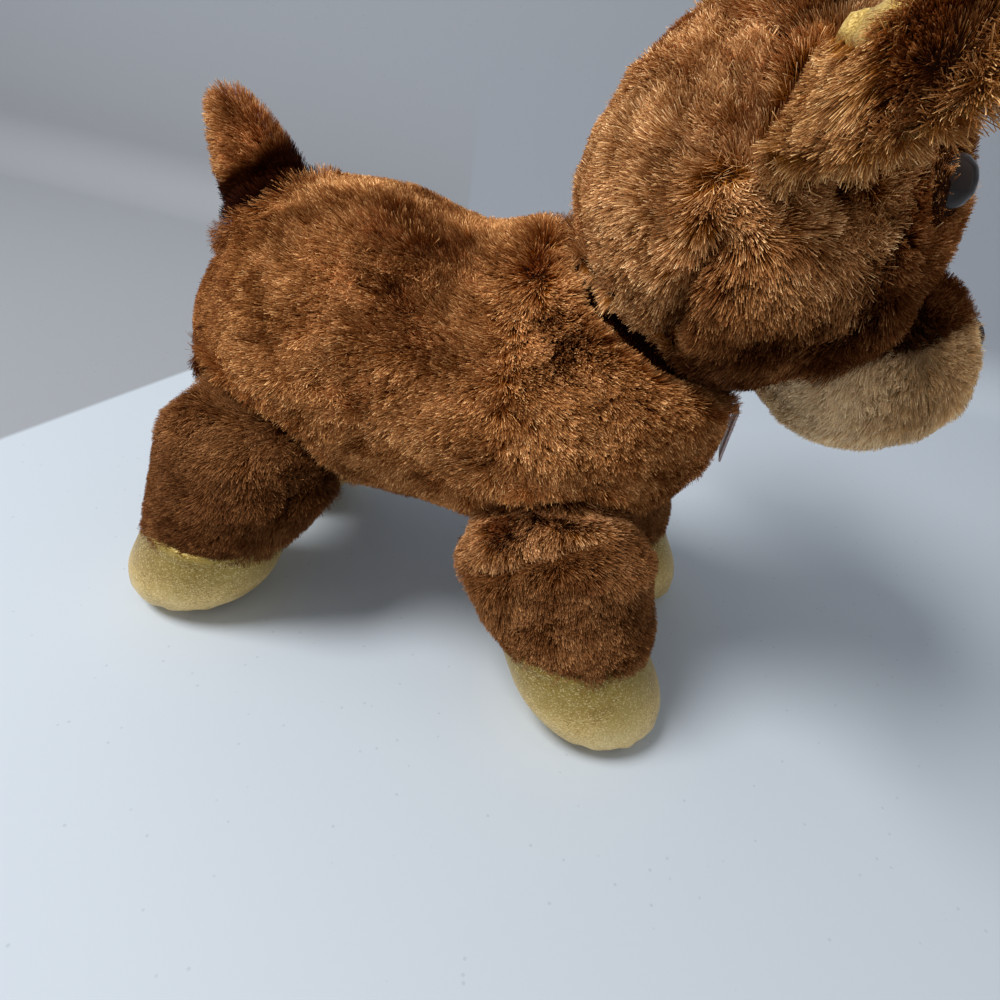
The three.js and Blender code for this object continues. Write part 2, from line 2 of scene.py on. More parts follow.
# A stuffed deer in brown plush, with gold cloth hooves, ears and antlers.
# The imported model gives the places of its bodies. This first cell loads it at its own size,
# because cloth and pile may stand only a little proud of it.

# %% Load the model
import bmesh
import bpy
import numpy as np
from math import cos, exp, pi, radians, sin
from mathutils import Matrix, Vector
from mathutils.bvhtree import BVHTree


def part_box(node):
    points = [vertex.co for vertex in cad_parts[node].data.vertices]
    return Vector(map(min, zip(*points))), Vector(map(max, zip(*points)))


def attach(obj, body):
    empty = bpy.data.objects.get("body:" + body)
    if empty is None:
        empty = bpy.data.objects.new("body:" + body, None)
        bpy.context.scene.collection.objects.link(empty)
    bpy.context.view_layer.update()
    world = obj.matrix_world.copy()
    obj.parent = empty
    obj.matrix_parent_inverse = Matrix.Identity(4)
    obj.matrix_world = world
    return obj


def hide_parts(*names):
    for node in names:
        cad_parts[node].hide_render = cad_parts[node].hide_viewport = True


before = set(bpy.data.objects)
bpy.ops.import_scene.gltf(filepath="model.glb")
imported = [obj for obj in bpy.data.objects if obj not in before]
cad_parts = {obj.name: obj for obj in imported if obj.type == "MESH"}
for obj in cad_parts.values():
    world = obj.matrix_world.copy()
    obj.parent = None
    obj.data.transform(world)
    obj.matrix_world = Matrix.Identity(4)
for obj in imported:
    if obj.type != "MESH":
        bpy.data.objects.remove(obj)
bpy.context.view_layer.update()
MM = 0.001
SIDES = {"right": -1, "left": 1}
scene = bpy.context.scene

# %% [markdown]
# The camera stands at the deer's right side, above its back, and is rolled a little.
# Its position and three angles in degrees place it.

# %% Camera
CAMERA_AT = Vector((0.0460, -0.2825, 0.2640))
CAMERA_YAW, CAMERA_DOWN, CAMERA_ROLL = -9.3, 35.4, 10.6
SENSOR = 36.0
LENS = 25.2


def placed(name, data):
    """A new object in the scene"""
    thing = bpy.data.objects.new(name, data)
    scene.collection.objects.link(thing)
    return thing


yaw, down, roll = (radians(angle) for angle in (CAMERA_YAW, CAMERA_DOWN, CAMERA_ROLL))
forward = Vector((sin(yaw) * cos(down), cos(yaw) * cos(down), -sin(down)))
level = Vector((cos(yaw), -sin(yaw), 0))
right = level * cos(roll) + level.cross(forward) * sin(roll)
up = forward.cross(right) * -1
lens = bpy.data.cameras.new("camera")
lens.sensor_width = SENSOR
lens.lens = LENS
lens.clip_start = 0.01
camera = placed("camera", lens)
camera.matrix_world = Matrix.Translation(CAMERA_AT) @ Matrix((right, up, -forward)).transposed().to_4x4()
scene.camera = camera
print("camera looks", [round(c, 3) for c in forward])

# %% [markdown]
# The floor and the wall are one pale sheet that curves up behind the deer, as on a photographer's table.

# %% Floor and wall
FLOOR_FRONT = -1.6
FLOOR_BACK = 0.44
FLOOR_HALF_WIDE = 2.2
SWEEP_RADIUS = 0.06
SWEEP_STEPS = 12
WALL_HIGH = 1.9


def paper_profile():
    """The sheet seen from its side, as (y, z) pairs"""
    points = [(FLOOR_FRONT, 0), (FLOOR_BACK, 0)]
    for step in range(1, SWEEP_STEPS + 1):
        angle = step / SWEEP_STEPS * pi / 2
        points.append((FLOOR_BACK + SWEEP_RADIUS * sin(angle), SWEEP_RADIUS * (1 - cos(angle))))
    return points + [(FLOOR_BACK + SWEEP_RADIUS, WALL_HIGH)]


def new_object(name, vertices, faces):
    mesh = bpy.data.meshes.new(name)
    mesh.from_pydata([tuple(v) for v in vertices], [], faces)
    mesh.shade_smooth()
    return placed(name, mesh)


def strip(name, corners):
    """A sheet one face wide, from the corners of its rows, two to a row"""
    rows = range(len(corners) // 2 - 1)
    return new_object(name, corners, [(2 * k, 2 * k + 1, 2 * k + 3, 2 * k + 2) for k in rows])


paper = strip("paper", [(x, y, z) for y, z in paper_profile() for x in (-FLOOR_HALF_WIDE, FLOOR_HALF_WIDE)])
print("paper faces:", len(paper.data.polygons))

# %% [markdown]
# Soft light comes from one large round lamp, high on the left, and the pale room fills its shadows.

# %% Light
LAMP_AT = Vector((-0.62, -0.42, 1.25))
LAMP_AIM = Vector((0, 0, 0.1))
LAMP_SIZE = 0.55
LAMP_POWER = 16
ROOM_COLOUR = (0.93, 0.96, 1, 1)
ROOM_STRENGTH = 0.42

light = bpy.data.lights.new("window", "AREA")
light.shape = "DISK"
light.size = LAMP_SIZE
light.energy = LAMP_POWER
lamp = placed("window", light)
lamp.matrix_world = (Matrix.Translation(LAMP_AT)
                     @ (LAMP_AIM - LAMP_AT).to_track_quat("-Z", "Y").to_matrix().to_4x4())
world = bpy.data.worlds.new("room")
scene.world = world
world.use_nodes = True
room = world.node_tree.nodes["Background"]
room.inputs["Color"].default_value = ROOM_COLOUR
room.inputs["Strength"].default_value = ROOM_STRENGTH
scene.view_settings.view_transform = "Standard"
print("lamp is", round((LAMP_AIM - LAMP_AT).length, 2), "m from the deer")

# %% [markdown]
# Materials are node trees. These helpers add a node, fill its sockets by name and join it to others.

# %% Helpers for node trees
def add(tree, kind, inputs=None, **settings):
    node = tree.nodes.new(kind)
    for name, value in settings.items():
        setattr(node, name, value)
    for name, value in (inputs or {}).items():
        socket = node.inputs[name] if isinstance(name, int) else pick(node.inputs, name)
        if isinstance(value, bpy.types.NodeSocket):
            tree.links.new(value, socket)
        else:
            socket.default_value = value
    return node


def pick(sockets, name):
    return next(s for s in sockets if s.name == name and not s.is_unavailable)


def number(tree, operation, a, b=0.0):
    return add(tree, "ShaderNodeMath", {0: a, 1: b}, operation=operation).outputs[0]


def product(tree, a, b):
    return number(tree, "MULTIPLY", a, b)


def vector(tree, operation, a, b=(0, 0, 0)):
    return add(tree, "ShaderNodeVectorMath", {0: a, 1: b}, operation=operation).outputs[0]


def times(tree, a, factor):
    return add(tree, "ShaderNodeVectorMath", {0: a, "Scale": factor}, operation="SCALE").outputs[0]


def ramp(tree, factor, stops):
    node = add(tree, "ShaderNodeValToRGB", {"Fac": factor})
    while len(node.color_ramp.elements) < len(stops):
        node.color_ramp.elements.new(0.5)
    for element, (place, colour) in zip(node.color_ramp.elements, stops):
        element.position = place
        element.color = (*colour, 1)
    return node.outputs["Color"]


def mixed(tree, factor, a, b, blend="MIX"):
    node = add(tree, "ShaderNodeMix", {"Factor": factor, "A": a, "B": b}, data_type="RGBA", blend_type=blend)
    return pick(node.outputs, "Result")


def mapped(tree, value, low, high, to_low=0.0, to_high=1.0):
    return add(tree, "ShaderNodeMapRange", {0: value, 1: low, 2: high, 3: to_low, 4: to_high}).outputs[0]


def axis(tree, value, name):
    return add(tree, "ShaderNodeSeparateXYZ", {"Vector": value}).outputs[name]


def noise(tree, place, scale, detail):
    return add(tree, "ShaderNodeTexNoise", {"Vector": place, "Scale": scale, "Detail": detail}).outputs


def cells(tree, place, scale):
    return add(tree, "ShaderNodeTexVoronoi", {"Vector": place, "Scale": scale}).outputs


def dot(tree, a, b):
    return add(tree, "ShaderNodeVectorMath", {0: a, 1: b}, operation="DOT_PRODUCT").outputs["Value"]


def material(name, **values):
    cloth = bpy.data.materials.new(name)
    cloth.use_nodes = True
    shader = cloth.node_tree.nodes["Principled BSDF"]
    for socket, value in values.items():
        shader.inputs[socket.replace("_", " ")].default_value = value
    return cloth, cloth.node_tree, shader


def object_place(tree):
    return add(tree, "ShaderNodeTexCoord").outputs["Object"]


def mottled(tree, scale, dark, light):
    """A colour that wanders between two"""
    return ramp(tree, noise(tree, object_place(tree), scale, 4.0)["Fac"], [(0.3, dark), (0.7, light)])


def relief(tree, shader, height, strength, depth):
    bump = add(tree, "ShaderNodeBump", {"Height": height, "Strength": strength, "Distance": depth})
    tree.links.new(bump.outputs["Normal"], shader.inputs["Normal"])


def coloured(tree, shader, colour):
    tree.links.new(colour, shader.inputs["Base Color"])


def paint(thing, *cloths):
    for cloth in cloths:
        thing.data.materials.append(cloth)


print("materials so far:", len(bpy.data.materials))

# %% [markdown]
# The paper is pale on the table, with faint flecks, and painted greyer up the wall as shade, since the
# wall gets less light. The table ends left of a slanted line, where the low part of the sheet is painted
# as a plain grey wall.

# %% Paper's material
TABLE_LEFT = -0.310
TABLE_SLANT = 0.27
TABLE_EDGE = 0.004
GREY_FADES = (0.08, 0.2)
GREY_WALL = (0.36, 0.375, 0.40, 1)
# Painted shade: the sheet's colour darkens up the wall, which gets less light than the table
PAPER_AND_WALL_SHADE = [(0.0, (0.61, 0.67, 0.73)), (0.05, (0.39, 0.415, 0.455)), (0.6, (0.28, 0.295, 0.325))]
FLECK_SCALE = 110.0
FLECK_TONES = [(0.05, (0.86, 0.86, 0.86)), (0.09, (1, 1, 1))]

pale, tree, shader = material("pale_paper", Roughness=0.6, Specular_IOR_Level=0.3)
place = object_place(tree)
height = axis(tree, place, "Z")
flecks = ramp(tree, cells(tree, place, FLECK_SCALE)["Distance"], FLECK_TONES)
on_table = mapped(tree, dot(tree, place, (1, -TABLE_SLANT, 0)), TABLE_LEFT - TABLE_EDGE, TABLE_LEFT)
low_down = mapped(tree, height, *GREY_FADES, 1.0, 0.0)
beyond = product(tree, number(tree, "SUBTRACT", 1.0, on_table), low_down)
sheet = mixed(tree, beyond, ramp(tree, height, PAPER_AND_WALL_SHADE), GREY_WALL)
coloured(tree, shader, mixed(tree, 1.0, sheet, flecks, "MULTIPLY"))
paint(paper, pale)
print("paper material:", pale.name)

# %% [markdown]
# Plush is a woven back with a dense pile. The back is a smooth closed skin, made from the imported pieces
# by a voxel remesh, which rounds off their facets, and a few rounds of smoothing.

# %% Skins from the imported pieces
def model_mesh(nodes):
    shape = bmesh.new()
    for node in nodes:
        shape.from_mesh(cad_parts[node].data)
    bmesh.ops.remove_doubles(shape, verts=shape.verts, dist=MM / 100)
    return shape


def largest_part(shape):
    left = set(shape.verts)
    best = []
    while left:
        found = [left.pop()]
        for vertex in found:
            for edge in vertex.link_edges:
                other = edge.other_vert(vertex)
                if other in left:
                    left.discard(other)
                    found.append(other)
        best = max(best, found, key=len)
    keep = set(best)
    bmesh.ops.delete(shape, geom=[v for v in shape.verts if v not in keep], context="VERTS")


def applied(thing):
    """The object with its modifiers made part of its mesh"""
    evaluated = thing.evaluated_get(bpy.context.evaluated_depsgraph_get())
    mesh = bpy.data.meshes.new_from_object(evaluated)
    thing.modifiers.clear()
    thing.data = mesh
    return thing


def skin_of(name, nodes, voxel, rounds):
    mesh = bpy.data.meshes.new(name)
    shape = model_mesh(nodes)
    shape.to_mesh(mesh)
    shape.free()
    skin = placed(name, mesh)
    remesh = skin.modifiers.new("remesh", "REMESH")
    remesh.mode = "VOXEL"
    remesh.voxel_size = voxel
    smooth = skin.modifiers.new("smooth", "SMOOTH")
    smooth.factor = 0.5
    smooth.iterations = rounds
    applied(skin)
    shape = bmesh.new()
    shape.from_mesh(skin.data)
    largest_part(shape)
    shape.to_mesh(skin.data)
    shape.free()
    skin.data.shade_smooth()
    return skin


print("packed nodes:", len(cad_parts))

# %% [markdown]
# A skin carries a share on each of its vertices, such as how much pile shows there. Where a neighbour
# lies over it, as in the seat of a leg, it grows none: a ray from each vertex finds the neighbour, and
# the answer is widened and averaged over the mesh's edges, which gives it a soft border.

# %% Shares on a skin
BORDER_ROUNDS = 3


def over_edges(skin, values, rounds, choose):
    """Values on the vertices, each replaced by what choose makes of it and its neighbours"""
    ends = np.zeros(len(skin.data.edges) * 2, int)
    skin.data.edges.foreach_get("vertices", ends)
    ends = ends.reshape(-1, 2)
    here, there = np.concatenate((ends, ends[:, ::-1])).T
    for _ in range(rounds):
        values = choose(values, here, there)
    return values


def widened(values, here, there):
    new = values.copy()
    np.maximum.at(new, here, values[there])
    return new


def averaged(values, here, there):
    total, count = values.copy(), np.ones(len(values))
    np.add.at(total, here, values[there])
    np.add.at(count, here, 1)
    return total / count


def surface_of(nodes):
    shape = model_mesh(nodes)
    surface = BVHTree.FromBMesh(shape)
    shape.free()
    return surface


def open_share(skin, neighbours, reach, grow):
    """1 where the pile shows, 0 where a neighbour lies over the skin"""
    cover = surface_of(neighbours)
    seen = [cover.ray_cast(v.co, v.normal, reach)[0] is None for v in skin.data.vertices]
    seen = over_edges(skin, np.array(seen, float), grow, widened)
    return over_edges(skin, seen, BORDER_ROUNDS, averaged)


def distance_to(places, nodes):
    surface = surface_of(nodes)
    return np.array([surface.find_nearest(Vector(p))[3] for p in places])


def set_in(skin, share, depth):
    places = np.array([v.co - v.normal * float(s) * depth for v, s in zip(skin.data.vertices, share)])
    skin.data.vertices.foreach_set("co", places.ravel())
    skin.data.update()


def spots(skin):
    places = np.zeros(len(skin.data.vertices) * 3)
    skin.data.vertices.foreach_get("co", places)
    return places.reshape(-1, 3)


def step_up(values, low, high):
    share = np.clip((values - low) / (high - low), 0, 1)
    return share * share * (3 - 2 * share)


def step_mm(values, low, high):
    return step_up(values, low * MM, high * MM)


def near(places, point, reach):
    """1 at the point, falling smoothly to 0 at the reach"""
    return 1 - step_up(np.linalg.norm(places - np.array(point), axis=1), 0, reach)


def between(points, steps):
    """Places along the line through the points"""
    points = [np.array(p) for p in points]
    return [a * (1 - t) + b * t for a, b in zip(points, points[1:]) for t in np.linspace(0, 1, steps)]


def away(places, point):
    way = places - point
    return way / np.linalg.norm(way, axis=1)[:, None]


def store(mesh, name, kind, values):
    attribute = mesh.attributes.get(name) or mesh.attributes.new(name, kind, "POINT")
    field = "vector" if kind == "FLOAT_VECTOR" else "value"
    attribute.data.foreach_set(field, np.asarray(values, np.float32).ravel())


print("a step from 0 to 1, half way:", step_up(np.array([0.5]), 0, 1)[0])

# %% [markdown]
# The torso is one skin under two panels. It is set in, so that the tips of its pile end near the model's
# surface: least beside the head, where the pile fades into the neck, and most on the rump and the back.

# %% Torso skin
LEGS = [f"{end}_{side}" for end in ("front", "rear") for side in SIDES]
LEG_SKINS = [f"{leg}_leg_skin" for leg in LEGS]
TORSO_NODES = ["torso_panel_right", "torso_panel_left", "torso_filling"]
HEAD_NODES = ["head_panel_right", "head_panel_left", "muzzle_panel", "head_filling"]
HEAD_AND_NECK = HEAD_NODES + ["neck_filling"]
BODY_VOXEL = 2.5 * MM
NEAR_REACH = 3 * MM
SEAT_REACH = 6 * MM
WIDE_REACH = 12 * MM
SKIN_DEPTH = 5 * MM
# Millimetres that the torso's skin is set in: everywhere, away from the head, on the rump, on the back
TORSO_DEPTH, OFF_HEAD_DEPTH, RUMP_DEPTH, SADDLE_DEPTH = 1.5, 5.5, 5, 4

torso_skin = skin_of("torso_skin", TORSO_NODES, BODY_VOXEL, 14)
torso_at = spots(torso_skin)
torso_x, torso_z = torso_at[:, 0], torso_at[:, 2]
torso_open = open_share(torso_skin, LEG_SKINS, SEAT_REACH, 3)
off_tail = open_share(torso_skin, ["tail_skin"], SEAT_REACH, 0)
wide_open = open_share(torso_skin, LEG_SKINS, SEAT_REACH, 7)
behind_legs = step_mm(-torso_x, 105, 120)
torso_deep = torso_open + behind_legs * (wide_open - torso_open)
torso_deep = np.minimum(torso_deep, off_tail)
torso_open = np.minimum(torso_open, off_tail)
torso_open = np.minimum(torso_open, open_share(torso_skin, HEAD_AND_NECK, NEAR_REACH, 4))
# The rump, the back behind the shoulders, and all that lies off the head, each over spans in millimetres
rump = step_mm(-torso_x, 100, 130)
rump = rump * step_mm(torso_z, 85, 115) * (1 - 0.6 * step_mm(torso_z, 165, 185))
saddle = step_mm(torso_x, -62, -28) * step_mm(torso_z, 160, 180)
off_head = step_mm(distance_to(torso_at, HEAD_AND_NECK), 3, 34)
off_head = np.maximum(off_head, step_mm(torso_x, 66, 84))
torso_depth = (TORSO_DEPTH + OFF_HEAD_DEPTH * off_head + rump * RUMP_DEPTH
               + saddle * off_head * SADDLE_DEPTH)
set_in(torso_skin, torso_deep * torso_depth, MM)
print("torso skin:", len(torso_skin.data.polygons), "faces, set in up to", round(torso_depth.max(), 1), "mm")

# %% [markdown]
# The pile is thousands of strands. Each is one narrow triangle: its point stands in the skin and its
# blunt end is the tip. The strand's own map says how far along it a place is, so that the material can
# shade root and tip.

# %% One strand
ACROSS_ALONG = [(0, 0), (1, 1), (-1, 1)]

triangle = bpy.data.meshes.new("strand")
triangle.from_pydata([(across, along, 0) for across, along in ACROSS_ALONG], [], [(0, 1, 2)])
layer = triangle.uv_layers.new(name="strand")
for loop in triangle.loops:
    across, along = ACROSS_ALONG[loop.vertex_index]
    layer.data[loop.index].uv = ((across + 1) / 2, along)
STRAND = bpy.data.objects.new("strand", triangle)
print("strand corners:", len(triangle.vertices))

# %% [markdown]
# Geometry Nodes places the strands. The tree has named inputs, so that each piece can have a pile of its
# own length, density and seed. These helpers read and keep values on points, and draw them by chance.

# %% The tree's inputs and helpers
PILE_VALUES = dict(Density=9.6e6, Length=7.5 * MM, Width=0.20 * MM, Rise=0.95, Tuft_size=2.2 * MM,
                   Tuft_pull=0.2, Wander=3.6, Wander_size=24 * MM)
TREE_INPUTS = {"Skin": "Geometry", **dict.fromkeys(PILE_VALUES, "Float"), "Seed": "Int",
               "Strand": "Object", "Cloth": "Material"}


def new_pile_tree():
    tree = bpy.data.node_groups.new("pile", "GeometryNodeTree")
    tree.is_modifier = True
    for name, kind in TREE_INPUTS.items():
        tree.interface.new_socket(name.replace("_", " "), in_out="INPUT", socket_type="NodeSocket" + kind)
    tree.interface.new_socket("Pile", in_out="OUTPUT", socket_type="NodeSocketGeometry")
    return tree


def stored(tree, name, kind="FLOAT_VECTOR"):
    node = add(tree, "GeometryNodeInputNamedAttribute", {"Name": name}, data_type=kind)
    return pick(node.outputs, "Attribute")


def kept(tree, geometry, name, value, kind="FLOAT_VECTOR"):
    node = add(tree, "GeometryNodeStoreNamedAttribute", data_type=kind, domain="POINT")
    tree.links.new(geometry, node.inputs["Geometry"])
    pick(node.inputs, "Name").default_value = name
    tree.links.new(value, pick(node.inputs, "Value"))
    return node.outputs["Geometry"]


def chance(tree, seed, low, high, step, kind="FLOAT"):
    own_seed = number(tree, "ADD", seed, float(step))
    node = add(tree, "FunctionNodeRandomValue", {"Min": low, "Max": high, "Seed": own_seed}, data_type=kind)
    return pick(node.outputs, "Value")


PILE = new_pile_tree()
PILE_SOCKETS = {item.name: item.identifier for item in PILE.interface.items_tree if item.in_out == "INPUT"}
print("pile inputs:", list(PILE_SOCKETS))

# %% [markdown]
# First the points that the strands stand on. The nap at a point is the comb direction, bent by slow noise
# and a little by chance, and laid flat on the skin. Every point belongs to a tuft, a cell of a Voronoi
# pattern, which draws its strands together and gives them a common tone.

# %% Points on the skin
GREY = (0.5, 0.5, 0.5)
OWN_WAY = 0.3
TUFT_WAY = 0.6
NOISE_RANGE = (0.35, 0.65)
LAY_RANGE = (0.3, 1.0)
OWN_SHADE = 0.7
TUFT_SHADE = 0.35
REACH_RANGE = (0.7, 1.15)
ROLL_RANGE = (-1.2, 1.2)
ELSEWHERE = (1, 2, 3)


def planted(tree, given):
    density = product(tree, given["Density"], stored(tree, "cover", "FLOAT"))
    spread = add(tree, "GeometryNodeDistributePointsOnFaces",
                 {"Mesh": given["Skin"], "Density": density, "Seed": given["Seed"]},
                 distribute_method="RANDOM")
    place = add(tree, "GeometryNodeInputPosition").outputs["Position"]
    points = kept(tree, spread.outputs["Points"], "up", spread.outputs["Normal"])

    size = number(tree, "DIVIDE", 1.0, given["Wander size"])
    drift = vector(tree, "SUBTRACT", noise(tree, place, size, 2.0)["Color"], GREY)
    bend = times(tree, drift, given["Wander"])
    cell = number(tree, "DIVIDE", 1.0, given["Tuft size"])
    tuft = cells(tree, place, cell)
    tuft_way = times(tree, vector(tree, "SUBTRACT", tuft["Color"], GREY), TUFT_WAY)
    own_way = chance(tree, given["Seed"], (-OWN_WAY,) * 3, (OWN_WAY,) * 3, 1, "FLOAT_VECTOR")
    own_way = vector(tree, "ADD", own_way, tuft_way)
    nap = vector(tree, "ADD", vector(tree, "ADD", stored(tree, "comb"), bend), own_way)
    above = dot(tree, nap, stored(tree, "up"))
    flat = vector(tree, "SUBTRACT", nap, times(tree, stored(tree, "up"), above))
    points = kept(tree, points, "lie", vector(tree, "NORMALIZE", flat))

    pull = times(tree, vector(tree, "SUBTRACT", tuft["Position"], place), given["Tuft pull"])
    points = kept(tree, points, "pull", pull)
    lay = noise(tree, vector(tree, "ADD", place, ELSEWHERE), size, 3.0)["Fac"]
    shade = product(tree, chance(tree, given["Seed"], 0.0, 1.0, 2), OWN_SHADE)
    tuft_shade = product(tree, axis(tree, tuft["Color"], "X"), TUFT_SHADE)
    for name, value in (("lay", mapped(tree, lay, *NOISE_RANGE, *LAY_RANGE)),
                        ("own", number(tree, "ADD", shade, tuft_shade)),
                        ("reach", chance(tree, given["Seed"], *REACH_RANGE, 3)),
                        ("roll", chance(tree, given["Seed"], *ROLL_RANGE, 4))):
        points = kept(tree, points, name, value, "FLOAT")
    return points


GIVEN = add(PILE, "NodeGroupInput").outputs
pile_points = planted(PILE, GIVEN)
print("nodes for the points:", len(PILE.nodes))

# %% [markdown]
# Then a strand on each point. Its copies start with no size, and each corner is moved to its place by the
# strand's map: up from the skin, over along the nap, to the middle of its tuft, and out to its side.

# %% Strands on the points
ROUND_OFF = 0.2


def strands_on(tree, given, points):
    blank = add(tree, "GeometryNodeObjectInfo", {"Object": given["Strand"]}).outputs["Geometry"]
    copies = add(tree, "GeometryNodeInstanceOnPoints",
                 {"Points": points, "Instance": blank, "Scale": (0, 0, 0)}).outputs["Instances"]
    strands = add(tree, "GeometryNodeRealizeInstances", {"Geometry": copies}).outputs["Geometry"]

    upward, lie, pull, on_map = (stored(tree, name) for name in ("up", "lie", "pull", "strand"))
    lay, reach, roll, trim = (stored(tree, name, "FLOAT") for name in ("lay", "reach", "roll", "trim"))
    across, along = axis(tree, on_map, "X"), axis(tree, on_map, "Y")
    bow = product(tree, along, along)
    long = product(tree, product(tree, given["Length"], reach), trim)
    rise = number(tree, "SUBTRACT", along, product(tree, bow, ROUND_OFF))
    rise = product(tree, product(tree, rise, given["Rise"]), long)
    lean = product(tree, product(tree, bow, lay), long)
    sideways = vector(tree, "CROSS_PRODUCT", lie, upward)
    turned = {"Vector": sideways, "Axis": lie, "Angle": roll}
    sideways = add(tree, "ShaderNodeVectorRotate", turned).outputs[0]
    half = product(tree, number(tree, "SUBTRACT", across, 0.5), given["Width"])
    path = (0, 0, 0)
    for way, far in ((upward, rise), (lie, lean), (pull, bow), (sideways, half)):
        path = vector(tree, "ADD", path, times(tree, way, far))
    moved = add(tree, "GeometryNodeSetPosition", {"Geometry": strands, "Offset": path}).outputs["Geometry"]
    return add(tree, "GeometryNodeSetMaterial", {"Geometry": moved, "Material": given["Cloth"]})


pile_strands = strands_on(PILE, GIVEN, pile_points)
PILE.links.new(pile_strands.outputs["Geometry"], add(PILE, "NodeGroupOutput").inputs["Pile"])
print("nodes for the whole pile:", len(PILE.nodes))

# %% [markdown]
# A skin is given its shares as attributes, the tree grows the strands, and the result is made a plain mesh
# that keeps only what the material reads. A piece is dressed: the imported nodes that it stands for are
# hidden, and it rides on its body.

# %% Growing and dressing
def grown(name, skin, cover, comb, cloth, trim=1, tone=1, **values):
    """Strands on a skin, as a mesh of their own"""
    count = len(skin.data.vertices)
    for word, share in (("cover", cover), ("trim", trim), ("tone", tone)):
        store(skin.data, word, "FLOAT", share * np.ones(count))
    store(skin.data, "comb", "FLOAT_VECTOR", np.array(comb) * np.ones((count, 1)))
    pile = placed(name, skin.data)
    nodes = pile.modifiers.new("pile", "NODES")
    nodes.node_group = PILE
    nodes[PILE_SOCKETS["Strand"]] = STRAND
    nodes[PILE_SOCKETS["Cloth"]] = cloth
    for key, value in {**PILE_VALUES, **values}.items():
        nodes[PILE_SOCKETS[key.replace("_", " ")]] = value
    applied(pile)
    for unwanted in ("cover", "comb", "trim", "up", "lie", "pull", "reach", "roll"):
        found = pile.data.attributes.get(unwanted)
        if found:
            pile.data.attributes.remove(found)
    print(name, len(pile.data.polygons), "strands")
    return pile


def dress(piece, body, slot, *nodes, fill=None):
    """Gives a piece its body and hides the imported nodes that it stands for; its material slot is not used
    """
    if nodes:
        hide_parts(*nodes)
    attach(piece, body)


def middle_of(node):
    return np.array(sum(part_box(node), Vector()) / 2)


print("strands to a square centimetre:", PILE_VALUES["Density"] / 1e4)

# %% [markdown]
# The pile's roots are painted dark, as shade where little light comes, and its tips light. Slow noise over
# the whole deer paints lighter and darker patches, the sheen of pile that handling lays different ways, and
# pile that lies flatter is painted lighter, as sheen too. Each strand has a little colour of its own. Brown
# dye is redder where it is darker, and the painted shade is made redder the same way, so green and blue
# follow the lightness too, by powers of it.

# %% Pile's material
MIDDLE_AT = 0.56
SHEEN_PATCH_SCALE = 60.0
SHEEN_PATCH_RANGE = (0.12, 0.6)
LAY_SHEEN_SHARE = 0.3
GREEN_POWER = 0.35
BLUE_POWER = 0.7


def pile_cloth(name, root, middle, tip, sheen=0.01, contrast=1.0):
    cloth, tree, shader = material(name, Roughness=0.5, Specular_IOR_Level=0.05, Sheen_Weight=sheen,
                                   Sheen_Roughness=0.4, Sheen_Tint=(1, 0.72, 0.45, 1))
    along = axis(tree, add(tree, "ShaderNodeUVMap", uv_map="strand").outputs["UV"], "Y")
    # Painted shade: the strand's root is darker than its tip
    colour = ramp(tree, along, [(0.0, root), (MIDDLE_AT, middle), (1.0, tip)])
    own, lay, tone = (add(tree, "ShaderNodeAttribute", attribute_name=word).outputs["Fac"]
                      for word in ("own", "lay", "tone"))
    # Painted sheen: slow patches, and pile that lies flatter, are painted lighter
    sheen_patch = noise(tree, object_place(tree), SHEEN_PATCH_SCALE, 2.0)["Fac"]
    sheen_patch = mapped(tree, sheen_patch, *NOISE_RANGE, *SHEEN_PATCH_RANGE)
    light = number(tree, "ADD", product(tree, number(tree, "POWER", own, 3.0), 2.0), sheen_patch)
    light = number(tree, "ADD", light, product(tree, lay, LAY_SHEEN_SHARE))
    light = number(tree, "ADD", product(tree, light, contrast), 1 - contrast)
    light = product(tree, light, tone)
    green = number(tree, "POWER", light, GREEN_POWER * contrast)
    blue = number(tree, "POWER", light, BLUE_POWER * contrast)
    warm = add(tree, "ShaderNodeCombineXYZ", {0: 1.0, 1: green, 2: blue}).outputs[0]
    coloured(tree, shader, times(tree, vector(tree, "MULTIPLY", colour, warm), light))
    return cloth


BODY_PILE = pile_cloth("body_pile", (0.14, 0.016, 0.0), (0.33, 0.076, 0.004), (0.61, 0.275, 0.09))
LEG_PILE = pile_cloth("leg_pile", (0.06, 0.008, 0.0), (0.15, 0.037, 0.003), (0.30, 0.122, 0.040),
                      contrast=0.75)
print("piles:", BODY_PILE.name, LEG_PILE.name)

# %% [markdown]
# The back of the cloth is knitted in its pile's colour, painted darker as the shade deep among the strands,
# so that it doesn't show between them.

# %% Backing's material
KNIT_SCALE = 260.0
LOOP_SCALE = 420.0


def backing(name, dark, light, between):
    cloth, tree, shader = material(name, Roughness=0.95, Specular_IOR_Level=0.05)
    knit = add(tree, "ShaderNodeTexWave",
               {"Vector": object_place(tree), "Scale": KNIT_SCALE, "Distortion": 2.0}).outputs["Fac"]
    coloured(tree, shader, mixed(tree, knit, mottled(tree, LOOP_SCALE, dark, light), (*between, 1)))
    relief(tree, shader, knit, 0.4, 0.3 * MM)
    return cloth


# Painted shade: the backings are darker than their piles' roots
BACKING = backing("backing", (0.020, 0.006, 0.002), (0.050, 0.016, 0.006), (0.018, 0.005, 0.002))
CREAM_BACKING = backing("cream_backing", (0.42, 0.28, 0.14), (0.60, 0.43, 0.25), (0.36, 0.24, 0.12))
paint(torso_skin, BACKING)
print("backings:", BACKING.name, CREAM_BACKING.name)

# %% [markdown]
# The torso's pile is combed back from the shoulders, and forwards on the chest. Its tone is painted darker
# as shade on the rump, under the belly, at the shoulder and deep beside the head. It grows in four pieces,
# so that each stays a fair size, and the two of a side stand for that side's panel.

# %% Pile of the torso
COMB_BACK = np.array((-0.7, 0, -0.35))
COMB_AHEAD = np.array((0.8, 0, -0.4))
RUMP_SHADE, BELLY_SHADE, SHOULDER_SHADE = 0.48, 0.1, 0.1
SHADE_BESIDE_HEAD = 0.38

